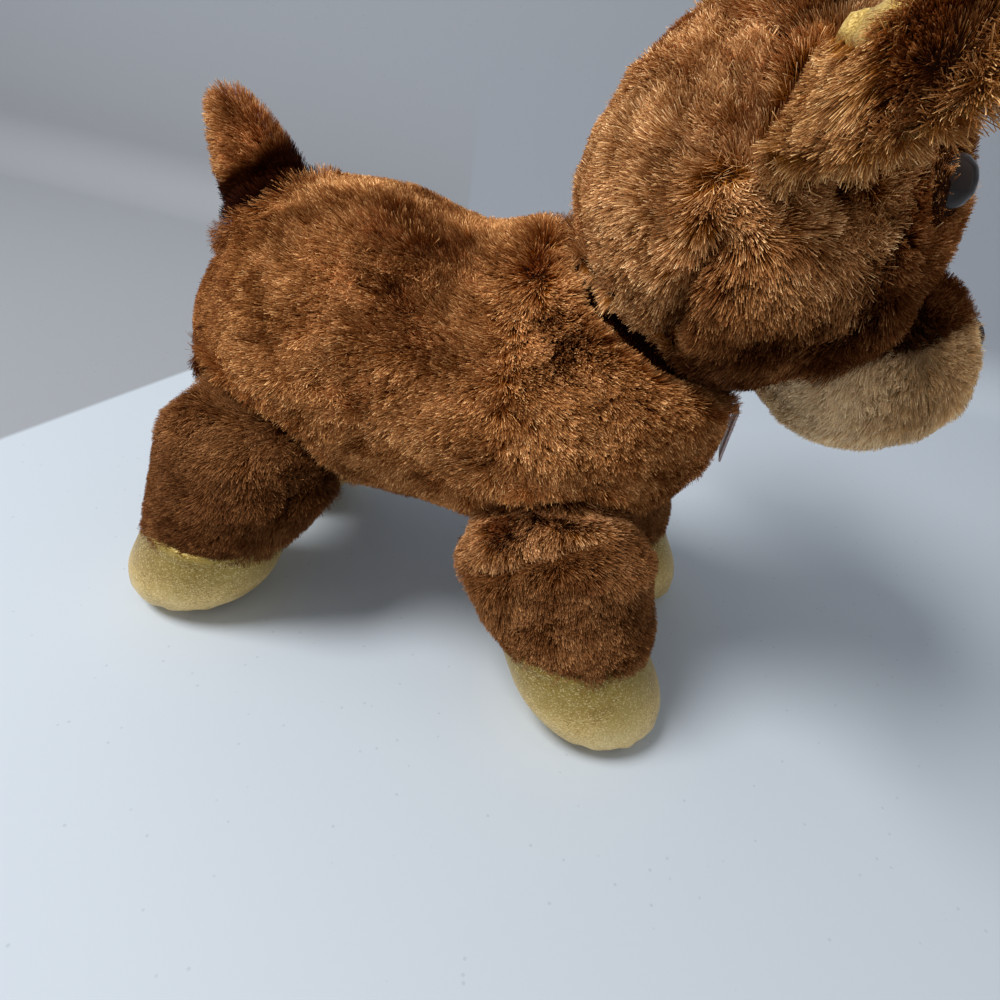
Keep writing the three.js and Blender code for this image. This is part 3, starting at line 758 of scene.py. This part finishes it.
dress(torso_skin, "torso", "body_fur", "torso_filling", fill=0.8)
# Painted shade: the tone is darker on the rump, under the belly, at the shoulder and beside the head
torso_shade = 1 - RUMP_SHADE * step_mm(-torso_x, 90, 125)
torso_shade -= BELLY_SHADE * step_mm(-torso_z, -130, -100)
torso_shade -= SHOULDER_SHADE * step_mm(torso_x, 25, 50)
torso_shade *= SHADE_BESIDE_HEAD + (1 - SHADE_BESIDE_HEAD) * step_mm(distance_to(torso_at, HEAD_NODES), 0, 8)
parting = step_mm(torso_x, -8, 18)[:, None]
torso_comb = COMB_BACK * (1 - parting) + COMB_AHEAD * parting
from_middle = torso_at - middle_of("torso_filling")
for side, sign in SIDES.items():
    for end, way in (("front", 1), ("rear", -1)):
        quarter = torso_open * (from_middle[:, 1] * sign > 0) * (from_middle[:, 0] * way > 0)
        pile = grown(f"torso_pile_{end}_{side}", torso_skin, quarter, torso_comb, BODY_PILE, tone=torso_shade,
                     Seed=5 + 2 * sign + way)
        dress(pile, "torso", "body_fur", f"torso_panel_{side}")
print("torso tone from", round(torso_shade.min(), 2), "to", round(torso_shade.max(), 2))

# %% [markdown]
# The face is the same on both sides of a plane half way between the eyes. So a mark on the head is given
# once, for the right side and in millimetres, and its twin on the left is found by mirroring.

# %% Marks on the head
FOLD = [(55.3, -52.4, 177.5), (54.0, -65.3, 199.1), (56.3, -68.4, 213.7)]
WHORL = (55.1, -69.5, 227.8)
CHEEK = (75.0, -67.0, 200.0)
EAR_SHADE = (86.5, -64.2, 239.5)
FOLD_REACH, CHEEK_REACH, EAR_SHADE_REACH = 10, 30, 14
FOLD_STEPS = 9

face_line = middle_of("eye_left") - middle_of("eye_right")
face_line /= np.linalg.norm(face_line)
face_plane = (middle_of("eye_right") + middle_of("eye_left")) @ face_line / 2


def both(point):
    """A place on the right of the face, in millimetres, and its twin on the left"""
    point = np.array(point) * MM
    return point, point + 2 * (face_plane - point @ face_line) * face_line


def near_both(places, point, reach):
    return np.maximum(*(near(places, spot, reach * MM) for spot in both(point)))


def line_share(places, points, reach):
    """1 on a line through the points, or on its twin, falling to 0 at the reach"""
    return np.max([near_both(places, spot, reach) for spot in between(points, FOLD_STEPS)], axis=0)


print("the face's plane lies", round(face_plane / MM, 1), "mm along the line between the eyes")

# %% [markdown]
# The head is one skin too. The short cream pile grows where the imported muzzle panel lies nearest, and SEAM
# moves its edge a little, by how far ahead of the head's middle a place is. No pile grows under the ears,
# the antlers, the eyes and the nose. Depths and distances are in millimetres.

# %% Head skin
BEHIND_DEPTH, CROWN_DEPTH, FOLD_DEPTH, CHEEK_LIFT = 3.5, 2.5, 6, 3
SEAM = [(10, 6), (38, -6), (60, -7)]

head_skin = skin_of("head_skin", HEAD_NODES, BODY_VOXEL, 10)
head_at = spots(head_skin)
head_x, head_z = head_at[:, 0], head_at[:, 2]
to_muzzle = distance_to(head_at, ["muzzle_panel"])
to_brown = distance_to(head_at, ["head_panel_right", "head_panel_left"])
ahead = (head_at - middle_of("head_filling")) @ away(middle_of("nose")[None], middle_of("head_filling"))[0]
seam = np.interp(ahead, [a * MM for a, s in SEAM], [s * MM for a, s in SEAM])
cream = step_mm(to_brown - to_muzzle - seam, -1.5, 1.5)
head_open = open_share(head_skin, ["torso_filling", "neck_filling"], NEAR_REACH, 3)
for thing in ("ear_back_right", "ear_back_left", "antler_right", "antler_left"):
    head_open = np.minimum(head_open, open_share(head_skin, [thing], WIDE_REACH, 0))
to_plastic = distance_to(head_at, ["eye_right", "eye_left", "nose"])
head_open = head_open * step_mm(to_plastic, 1, 3)
behind = step_mm(np.linalg.norm(head_at - middle_of("nose"), axis=1), 90, 135)
crown = step_mm(head_z, 210, 240)
fold = line_share(head_at, FOLD, FOLD_REACH)
cheek = near_both(head_at, CHEEK, CHEEK_REACH)
ear_shade = near_both(head_at, EAR_SHADE, EAR_SHADE_REACH)
head_depth = (SKIN_DEPTH + behind * (BEHIND_DEPTH + CROWN_DEPTH * crown) * MM + fold * FOLD_DEPTH * MM
              + (ear_shade - cheek) * CHEEK_LIFT * MM)
set_in(head_skin, head_open * head_depth, 1)
paint(head_skin, BACKING, CREAM_BACKING)
for polygon in head_skin.data.polygons:
    polygon.material_index = int(min(cream[v] for v in polygon.vertices) > 0.5)
dress(head_skin, "head", "head_fur", "head_filling", fill=0.8)
print("head skin:", len(head_skin.data.polygons), "faces, up to", round(head_depth.max() / MM, 1), "mm in")

# %% [markdown]
# The head's pile is combed away from the nose. Behind each cheek it starts from a whorl, the spot from
# which the nap runs out on all sides. Its tone is painted darker as shade low on the face, in the fold
# behind the cheek, under the ear, and deep beside the torso, and it is shorter around the eyes and the nose.

# %% Pile of the head
HEAD_PILE = pile_cloth("head_pile", (0.14, 0.020, 0.0), (0.35, 0.10, 0.008), (0.66, 0.33, 0.125))
CREAM_PILE = pile_cloth("cream_pile", (0.64, 0.41, 0.19), (0.84, 0.58, 0.30), (0.97, 0.74, 0.45), 0.05, 0.4)
COMB_AWAY = 0.9
COMB_DOWN = np.array((0, 0, -0.25))
SHORTEST = 0.35
LOW_SHADE, FACE_SHADE, FOLD_SHADE, EAR_SHADOW = 0.44, 0.4, 0.6, 0.75
SHADE_BESIDE_TORSO = 0.42

head_trim = SHORTEST + (1 - SHORTEST) * step_mm(to_plastic, 2, 14)
head_trim = head_trim * (1 - 0.4 * fold) * (1 - 0.6 * ear_shade)
low_down = (1 - step_mm(head_z, 184, 216)) * step_mm(head_x, 50, 66)
shaded = (1 - step_mm(head_z, 204, 230)) * step_mm(head_x, 52, 70)
# Painted shade: darker low on the face, in the fold behind the cheek, under the ear and beside the torso
head_shade = ((1 - LOW_SHADE * low_down) * (1 - FACE_SHADE * shaded) * (1 - FOLD_SHADE * fold * fold)
             * (1 - EAR_SHADOW * ear_shade))
head_shade *= SHADE_BESIDE_TORSO + (1 - SHADE_BESIDE_TORSO) * step_mm(distance_to(head_at, TORSO_NODES), 4, 11)
whorls = both(WHORL)
head_side = head_at @ face_line - face_plane
from_whorl = np.where((head_side < 0)[:, None], away(head_at, whorls[0]), away(head_at, whorls[1]))
near_whorl = np.minimum(*(np.linalg.norm(head_at - spot, axis=1) for spot in whorls))
off_whorl = step_mm(near_whorl, 30, 60)[:, None]
from_whorl = from_whorl * step_mm(near_whorl, 0, 16)[:, None]
from_nose = away(head_at, middle_of("nose"))
head_comb = COMB_AWAY * ((1 - off_whorl) * from_whorl + off_whorl * from_nose) + COMB_DOWN
for side, sign in SIDES.items():
    half = head_open * (1 - cream) * (head_side * sign > 0)
    pile = grown(f"head_pile_{side}", head_skin, half, head_comb, HEAD_PILE, head_trim, head_shade,
                 Density=9.1e6, Length=8.5 * MM, Wander=3.2, Wander_size=18 * MM, Seed=13 + sign)
    dress(pile, "head", "head_fur", f"head_panel_{side}")
pile = grown("muzzle_pile", head_skin, head_open * cream, head_comb, CREAM_PILE, head_trim,
             Length=7 * MM, Wander=2.0, Seed=17)
dress(pile, "head", "cream_fur", "muzzle_panel")

# %% [markdown]
# A leg is a stuffed skin whose round top turns in the torso's seat. Its pile is shorter at the hem, where
# it hangs over the hoof. Above the bulge of a front leg runs a crease, set in and painted dark as shade,
# and the pile over it is lighter. The crease is given as (x, distance from the middle, z) in millimetres.

# %% Crease of the front legs
CREASE = [(5, 66.8, 75), (21, 72.6, 89), (35, 69.2, 98), (48, 63.2, 104)]
CREASE_REACH = 7 * MM
CREASE_STEPS = 7
MID_Y = (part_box("front_right_hoof_sole")[0].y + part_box("front_left_hoof_sole")[1].y) / 2


def creased(sign, places):
    """1 in the crease and 0 away from it, and the height above it"""
    line = between([(x * MM, MID_Y + sign * y * MM, z * MM) for x, y, z in CREASE], CREASE_STEPS)
    xs, zs = [x * MM for x, y, z in CREASE], [z * MM for x, y, z in CREASE]
    share = np.max([near(places, spot, CREASE_REACH) for spot in line], axis=0)
    return share, places[:, 2] - np.interp(places[:, 0], xs, zs)


print("the legs' middle is at y =", round(MID_Y / MM, 1), "mm")

# %% [markdown]
# The four legs differ only in their tone, their comb and how far the skin is set in at the cuff.

# %% Legs
COMB_FRONT = (0.5, 0, -0.9)
COMB_REAR = (-0.6, 0, -0.6)
# Heights above the hem, in millimetres, over which the pile starts, grows long, and the cuff ends
HEM_PILE = (6, 9.5)
HEM_TRIM = (9, 22)
CUFF = (8, 36)
HEM_LENGTH = 0.62


def above_hem(height, hem, span):
    """0 to 1 over a span of heights above the hem, in millimetres"""
    return step_up(height, hem + span[0] * MM, hem + span[1] * MM)


for leg in LEGS:
    end, side = leg.split("_")
    skin = skin_of(f"{leg}_leg_stuffed", [f"{leg}_leg_skin", f"{leg}_leg_filling"], BODY_VOXEL, 8)
    leg_at = spots(skin)
    leg_z = leg_at[:, 2]
    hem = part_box(f"{leg}_hoof_band")[1].z
    leg_open = open_share(skin, TORSO_NODES, SEAT_REACH, 3) * above_hem(leg_z, hem, HEM_PILE)
    leg_trim = HEM_LENGTH + (1 - HEM_LENGTH) * above_hem(leg_z, hem, HEM_TRIM)
    if end == "front":
        crease, over = creased(SIDES[side], leg_at)
        # Painted shade darkens the pile in the crease
        leg_tone = (1.05 + 1.1 * step_mm(over, 0, 5)) * (1 - 0.5 * crease)
        comb, cuff_share = COMB_FRONT, 0.5
    else:
        crease = 0
        leg_tone = 0.70 + 0.5 * step_mm(leg_z, 92, 108)
        comb, cuff_share = COMB_REAR, 0.15
    cuff = (1 - above_hem(leg_z, hem, CUFF)) * cuff_share
    leg_depth = np.maximum(leg_open * (1 - cuff + 0.7 * crease), 0.6 * (leg_z < hem + 10 * MM))
    set_in(skin, leg_depth, SKIN_DEPTH)
    paint(skin, BACKING)
    dress(skin, f"{leg}_leg", "body_fur", f"{leg}_leg_filling", fill=0.8)
    pile = grown(f"{leg}_pile", skin, leg_open, comb, LEG_PILE, leg_trim, leg_tone,
                 Seed=20 + LEGS.index(leg))
    dress(pile, f"{leg}_leg", "body_fur", f"{leg}_leg_skin")

# %% [markdown]
# The tail's pile is combed out to its tip. It fades to its root, where it bends, and is painted darker
# there as the shade between tail and rump.

# %% Tail
TAIL_NAP = np.array((-0.7, 0, -0.2))
TAIL_ROOT_SHADE = 0.07

tail_skin = skin_of("tail_stuffed", ["tail_skin", "tail_filling"], 2 * MM, 6)
from_torso = distance_to(spots(tail_skin), TORSO_NODES)
tail_open = open_share(tail_skin, TORSO_NODES, NEAR_REACH, 1) * step_mm(from_torso, 0, 3)
# Painted shade: the pile darkens towards the tail's root
tail_root_shade = TAIL_ROOT_SHADE + (1 - TAIL_ROOT_SHADE) * step_mm(from_torso, 9, 15)
set_in(tail_skin, tail_open, SKIN_DEPTH)
paint(tail_skin, BACKING)
dress(tail_skin, "tail", "body_fur", "tail_filling", fill=0.7)
tail_low, tail_high = (np.array(c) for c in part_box("tail_skin"))
tail_way = np.array((tail_low[0] - tail_high[0], 0, tail_high[2] - tail_low[2]))
tail_way /= np.linalg.norm(tail_way)
pile = grown("tail_pile", tail_skin, tail_open, tail_way * 0.6 + TAIL_NAP, BODY_PILE,
             tone=tail_root_shade * 1.2, Length=7 * MM, Wander=2.2, Seed=31)
dress(pile, "tail", "body_fur", "tail_skin")

# %% [markdown]
# The neck is hidden between head and torso. Its own sparse pile, painted dark as the shade in that gap,
# keeps the gap from looking bare when the head turns.

# %% Neck
NECK_SHADE = 0.34

neck_skin = skin_of("neck_stuffed", ["neck_filling"], BODY_VOXEL, 4)
neck_open = open_share(neck_skin, HEAD_NODES + TORSO_NODES, WIDE_REACH, 2)
paint(neck_skin, BACKING)
dress(neck_skin, "neck", "body_fur", "neck_filling", fill=0.8)
# Painted shade: the neck's pile is dark all over
pile = grown("neck_pile", neck_skin, neck_open, (0, 0, -1), BODY_PILE,
             tone=NECK_SHADE, Density=3e6, Seed=33)
dress(pile, "neck", "body_fur")

# %% [markdown]
# The hooves, antlers and ear linings are a thin stretch cloth with gold foil printed on it. Its foil breaks
# up into tiny flakes that catch the light one by one, and the brightest flakes carry painted glints in their
# colour. The hooves' foil is paler at the sole and olive towards the hem: partly the foil's own colour, and
# partly painted shade, since less light reaches under the pile.

# %% Gold cloth
SLOW_SCALE = 55.0
FLAKE_SCALE = 2000.0
FLAKE_SHARE = 0.35
WEAVE_SCALE = 420.0
HEIGHT_SCALE = 23.0


def gold_cloth(name, dark, middle, light, heights=None):
    cloth, tree, shader = material(name, Metallic=0.35, Specular_IOR_Level=0.2, Sheen_Weight=0.03)
    place = object_place(tree)
    slow = noise(tree, place, SLOW_SCALE, 3.0)["Fac"]
    flake = axis(tree, cells(tree, place, FLAKE_SCALE)["Color"], "X")
    tone = number(tree, "ADD", product(tree, slow, 0.9), product(tree, flake, FLAKE_SHARE))
    colour = ramp(tree, tone, [(0.35, dark), (0.62, middle), (0.95, light)])
    # Painted shade: towards the hem the hoof darkens, as well as turning the foil's own olive
    if heights:
        high = product(tree, axis(tree, place, "Z"), HEIGHT_SCALE)
        high = number(tree, "ADD", high, product(tree, slow, 0.7))
        foil_and_shade_by_height = ramp(tree, number(tree, "SUBTRACT", high, 0.35), heights)
        colour = mixed(tree, 1.0, colour, foil_and_shade_by_height, "MULTIPLY")
    # Painted glint: the brightest flakes are mixed towards the light colour
    painted_glint = mapped(tree, flake, 0.8, 1.0, 0.0, 0.5)
    coloured(tree, shader, mixed(tree, painted_glint, colour, (*light, 1)))
    tree.links.new(mapped(tree, flake, 0.0, 1.0, 0.3, 0.6), shader.inputs["Roughness"])
    weave = add(tree, "ShaderNodeTexWave", {"Vector": place, "Scale": WEAVE_SCALE, "Distortion": 1.0},
                bands_direction="DIAGONAL").outputs["Fac"]
    relief(tree, shader, number(tree, "ADD", flake, product(tree, weave, 0.6)), 0.18, 0.12 * MM)
    return cloth


GOLD = gold_cloth("gold_cloth", (0.31, 0.19, 0.045), (0.70, 0.47, 0.13), (0.97, 0.76, 0.32))
HOOF_GOLD = gold_cloth("hoof_gold", (0.40, 0.26, 0.075), (0.80, 0.575, 0.235), (1.0, 0.82, 0.47),
                       [(0.0, (1, 1, 1)), (0.42, (0.95, 0.93, 0.84)), (0.7, (0.56, 0.52, 0.32)),
                        (0.95, (0.42, 0.39, 0.20))])
print("gold cloths:", GOLD.name, HOOF_GOLD.name)

# %% [markdown]
# An ear is a flat stuffed leaf: pile on its back, gold lining inside, and the gold comes round its edge.
# EAR_ROOTS gives each ear's root in millimetres, the direction across it and the direction out to its tip.
# GOLD_FROM gives, for distances out from the root, how far across the gold starts.

# %% Ears
EAR_PILE = pile_cloth("ear_pile", (0.17, 0.036, 0.001), (0.34, 0.11, 0.010), (0.56, 0.28, 0.10))
EAR_DEPTH = 2 * MM
LINING_REACH = 4 * MM
EAR_ROOTS = {"right": ((74.3, -59.0, 256.2), (0.206, 0.570, 0.795), (0.457, -0.775, 0.436)),
             "left": ((43.8, 51.7, 228.6), (0.359, 0.017, 0.933), (-0.033, 0.999, -0.006))}
GOLD_FROM = [(0, 14.5), (22, -3.5), (34, 8), (60, 27)]

for side, sign in SIDES.items():
    skin = skin_of(f"ear_{side}_stuffed", [f"ear_back_{side}"], 1.25 * MM, 4)
    ear_at = spots(skin)
    root, across, out = (np.array(v) for v in EAR_ROOTS[side])
    root = root * MM
    along, over = (ear_at - root) @ out / MM, (ear_at - root) @ across / MM
    past_line = over - np.interp(along, *zip(*GOLD_FROM))
    rim = step_mm((root - ear_at) @ across, 6, 18)
    ear_open = open_share(skin, [f"ear_lining_{side}"], LINING_REACH, 1)
    ear_open = np.minimum(ear_open, open_share(skin, HEAD_NODES, LINING_REACH, 2))
    ear_open = ear_open * step_up(-past_line, 0, 2)
    set_in(skin, ear_open, EAR_DEPTH)
    paint(skin, BACKING, GOLD)
    for polygon in skin.data.polygons:
        polygon.material_index = int(max(past_line[v] for v in polygon.vertices) > -1)
    dress(skin, f"ear_{side}", "head_fur", fill=0.3)
    tip = step_mm((ear_at - root) @ out, 15, 45)[:, None]
    comb = out * (1.1 * tip - 0.3) + np.array((0, 0, -1)) * (0.9 - 0.5 * tip)
    pile = grown(f"ear_{side}_pile", skin, ear_open, comb, EAR_PILE, 1 + 0.4 * rim,
                 Length=5.5 * MM, Wander=2.2, Wander_size=14 * MM, Seed=41 + sign)
    dress(pile, f"ear_{side}", "head_fur", f"ear_back_{side}")
    lining = skin_of(f"ear_{side}_satin", [f"ear_lining_{side}"], 0.8 * MM, 3)
    paint(lining, GOLD)
    dress(lining, f"ear_{side}", "gold_cloth", f"ear_lining_{side}", fill=0.2)

# %% [markdown]
# The antlers are soft too: closed tubes of gold cloth, smoothed as the skins are.

# %% Antlers
for side in SIDES:
    horn = skin_of(f"antler_{side}_stuffed", [f"antler_{side}"], 1.5 * MM, 8)
    paint(horn, GOLD)
    dress(horn, f"antler_{side}", "gold_cloth", f"antler_{side}", fill=0.8)
    print(horn.name, len(horn.data.polygons), "faces")

# %% [markdown]
# A hoof is round, so it is turned on a lathe from a profile of (radius, height) pairs. It leans as its leg
# does, and the gathers of its seam make the radius change a little around it.

# %% Lathe for the hooves
def lathe(name, foot, lean, profile, sides, wobble=None):
    """A closed round body from (radius, height) pairs, from its bottom pole to its top pole"""
    def place(radius, angle, height):
        grow = radius * (wobble(angle, height) if wobble else 1)
        return foot + lean * height + Vector((grow * cos(angle), grow * sin(angle), height))

    points = [place(0, 0, profile[0][1])]
    for radius, height in profile[1:-1]:
        points += [place(radius, 2 * pi * k / sides, height) for k in range(sides)]
    points.append(place(0, 0, profile[-1][1]))
    last = len(points) - 1
    turns = [(k, (k + 1) % sides) for k in range(sides)]
    faces = [(0, 1 + b, 1 + a) for a, b in turns]
    for ring in range(len(profile) - 3):
        first = 1 + ring * sides
        faces += [(first + a, first + b, first + sides + b, first + sides + a) for a, b in turns]
    faces += [(last - sides + a, last - sides + b, last) for a, b in turns]
    return new_object(name, points, faces)


def smooth_profile(points, steps):
    """A rounded line through (radius, height) pairs, in millimetres"""
    points = [Vector((r * MM, h * MM)) for r, h in points]
    line = []
    for k in range(len(points) - 1):
        a, b = points[max(k - 1, 0)], points[k]
        c, d = points[k + 1], points[min(k + 2, len(points) - 1)]
        for step in range(steps):
            t = step / steps
            line.append(0.5 * ((2 * b) + (c - a) * t + (2 * a - 5 * b + 4 * c - d) * t * t
                               + (3 * b - a - 3 * c + d) * t ** 3))
    return [tuple(p) for p in line + [points[-1]]]


def ring_middle(node, low, high):
    """The middle of the node's points between two heights"""
    points = [v.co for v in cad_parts[node].data.vertices if low <= v.co.z <= high]
    points = np.array(points, float)
    return Vector((*(points.min(axis=0) + points.max(axis=0))[:2] / 2, 0))


def puckered(angle, height):
    """The gathers where the cloth is sewn to the sole, and the uneven stuffing above them"""
    gather = exp(-((height - 5.5 * MM) / (4 * MM)) ** 2)
    uneven = 0.008 * sin(2 * angle + 0.7) + 0.006 * sin(3 * angle + height / MM / 9)
    return 1 + gather * (0.014 * sin(13 * angle) + 0.009 * sin(22 * angle + 1.3)) + uneven


print("widest gather:", round(max(puckered(a / 50, 5.5 * MM) for a in range(314)), 3), "of the radius")

# %% [markdown]
# Each hoof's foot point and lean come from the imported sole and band, so all four fit their legs. Its top
# closes under the hem of the pile, where it isn't seen.

# %% Hooves
HOOF_SIDES = 96
HOOF_SHAPE = [(0, 1.6), (17, 1.6), (24, 3), (30.5, 8), (34, 18), (34, 28)]
HOOF_TOP = [(32.8, 3), (29, 11), (0, 11)]
SOLE_SHAPE = [(0, 0), (18, 0.1), (22.4, 1.2), (22.2, 2.4), (0, 2.4)]

for leg in LEGS:
    foot = ring_middle(f"{leg}_hoof_sole", -MM, MM)
    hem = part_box(f"{leg}_hoof_band")[1].z
    lean = (ring_middle(f"{leg}_hoof_band", hem - MM / 2, hem + MM) - foot) / hem
    band = smooth_profile(HOOF_SHAPE + [(r, hem / MM + h) for r, h in HOOF_TOP], 6)
    hoof = lathe(f"{leg}_hoof", foot, lean, band, HOOF_SIDES, puckered)
    paint(hoof, HOOF_GOLD)
    dress(hoof, f"{leg}_leg", "gold_cloth", f"{leg}_hoof_band", fill=0.9)
    sole = lathe(f"{leg}_sole", foot, lean, smooth_profile(SOLE_SHAPE, 5), HOOF_SIDES)
    paint(sole, HOOF_GOLD)
    dress(sole, f"{leg}_leg", "gold_cloth", f"{leg}_hoof_sole", fill=0.5)
    print(hoof.name, "hem at", round(hem / MM, 1), "mm")

# %% [markdown]
# The eyes and the nose are hard dark plastic. Fine dust makes them shine unevenly.

# %% Eyes and nose
DUST_SCALE = 900.0

DARK, tree, shader = material("dark_plastic", Specular_IOR_Level=0.3)
coloured(tree, shader, mottled(tree, 160.0, (0.006, 0.003, 0.002), (0.020, 0.010, 0.006)))
dust = noise(tree, object_place(tree), DUST_SCALE, 3.0)["Fac"]
tree.links.new(mapped(tree, dust, 0.4, 0.7, 0.08, 0.24), shader.inputs["Roughness"])
for node in ("eye_right", "eye_left", "nose"):
    dome = skin_of(f"{node}_dome", [node], 0.7 * MM, 6)
    paint(dome, DARK)
    dress(dome, "head", "dark_plastic", node)
    print(dome.name, len(dome.data.polygons), "faces")

# %% [markdown]
# The label is a blank satin ribbon, folded in half and sewn in by its two ends. It is a sheet.

# %% Label
RIBBON_THICK = 0.25 * MM
SEWN_IN = 2 * MM
LEG_STEPS = 8
BEND_STEPS = 6


def ribbon(name, low, high, thick):
    """A ribbon folded in half, hanging from its two ends"""
    x = (low.x + high.x) / 2
    half = (high.x - low.x) / 2 - thick / 2
    bend_z = low.z + half
    line = [(x - half, high.z + SEWN_IN)]
    line += [(x - half, high.z + (bend_z - high.z) * k / LEG_STEPS) for k in range(LEG_STEPS + 1)]
    for k in range(1, BEND_STEPS):
        angle = pi * k / BEND_STEPS
        line.append((x - half * cos(angle), bend_z - half * sin(angle)))
    line += [(x + half, bend_z + (high.z - low.z - half) * k / LEG_STEPS) for k in range(LEG_STEPS + 1)]
    line += [(x + half, high.z + SEWN_IN)]
    band = strip(name, [(px, y, pz) for px, pz in line for y in (low.y, high.y)])
    wall = band.modifiers.new("thickness", "SOLIDIFY")
    wall.thickness = thick
    wall.offset = 0
    return applied(band)


tag_low, tag_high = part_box("label_tag")
tag = ribbon("label_ribbon", tag_low, tag_high, RIBBON_THICK)
satin, tree, shader = material("label_satin", Roughness=0.4)
coloured(tree, shader, mottled(tree, 240.0, (0.88, 0.74, 0.77), (0.97, 0.90, 0.92)))
ribs = add(tree, "ShaderNodeTexWave", {"Vector": object_place(tree), "Scale": 700.0}, bands_direction="Z")
relief(tree, shader, ribs.outputs["Fac"], 0.3, 0.1 * MM)
paint(tag, satin)
dress(tag, "tag", "label_cloth", "label_tag")

# %% [markdown]
# The locking washers inside the head stay as they are packed. They only get a plain plastic.

# %% Washers
WASHER, tree, shader = material("washer_plastic")
coloured(tree, shader, mottled(tree, 300.0, (0.62, 0.61, 0.58), (0.78, 0.77, 0.74)))
for node in ("nose_washer", "eye_washer_right", "eye_washer_left"):
    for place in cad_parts[node].material_slots:
        place.material = WASHER
    print(node, "is", WASHER.name)
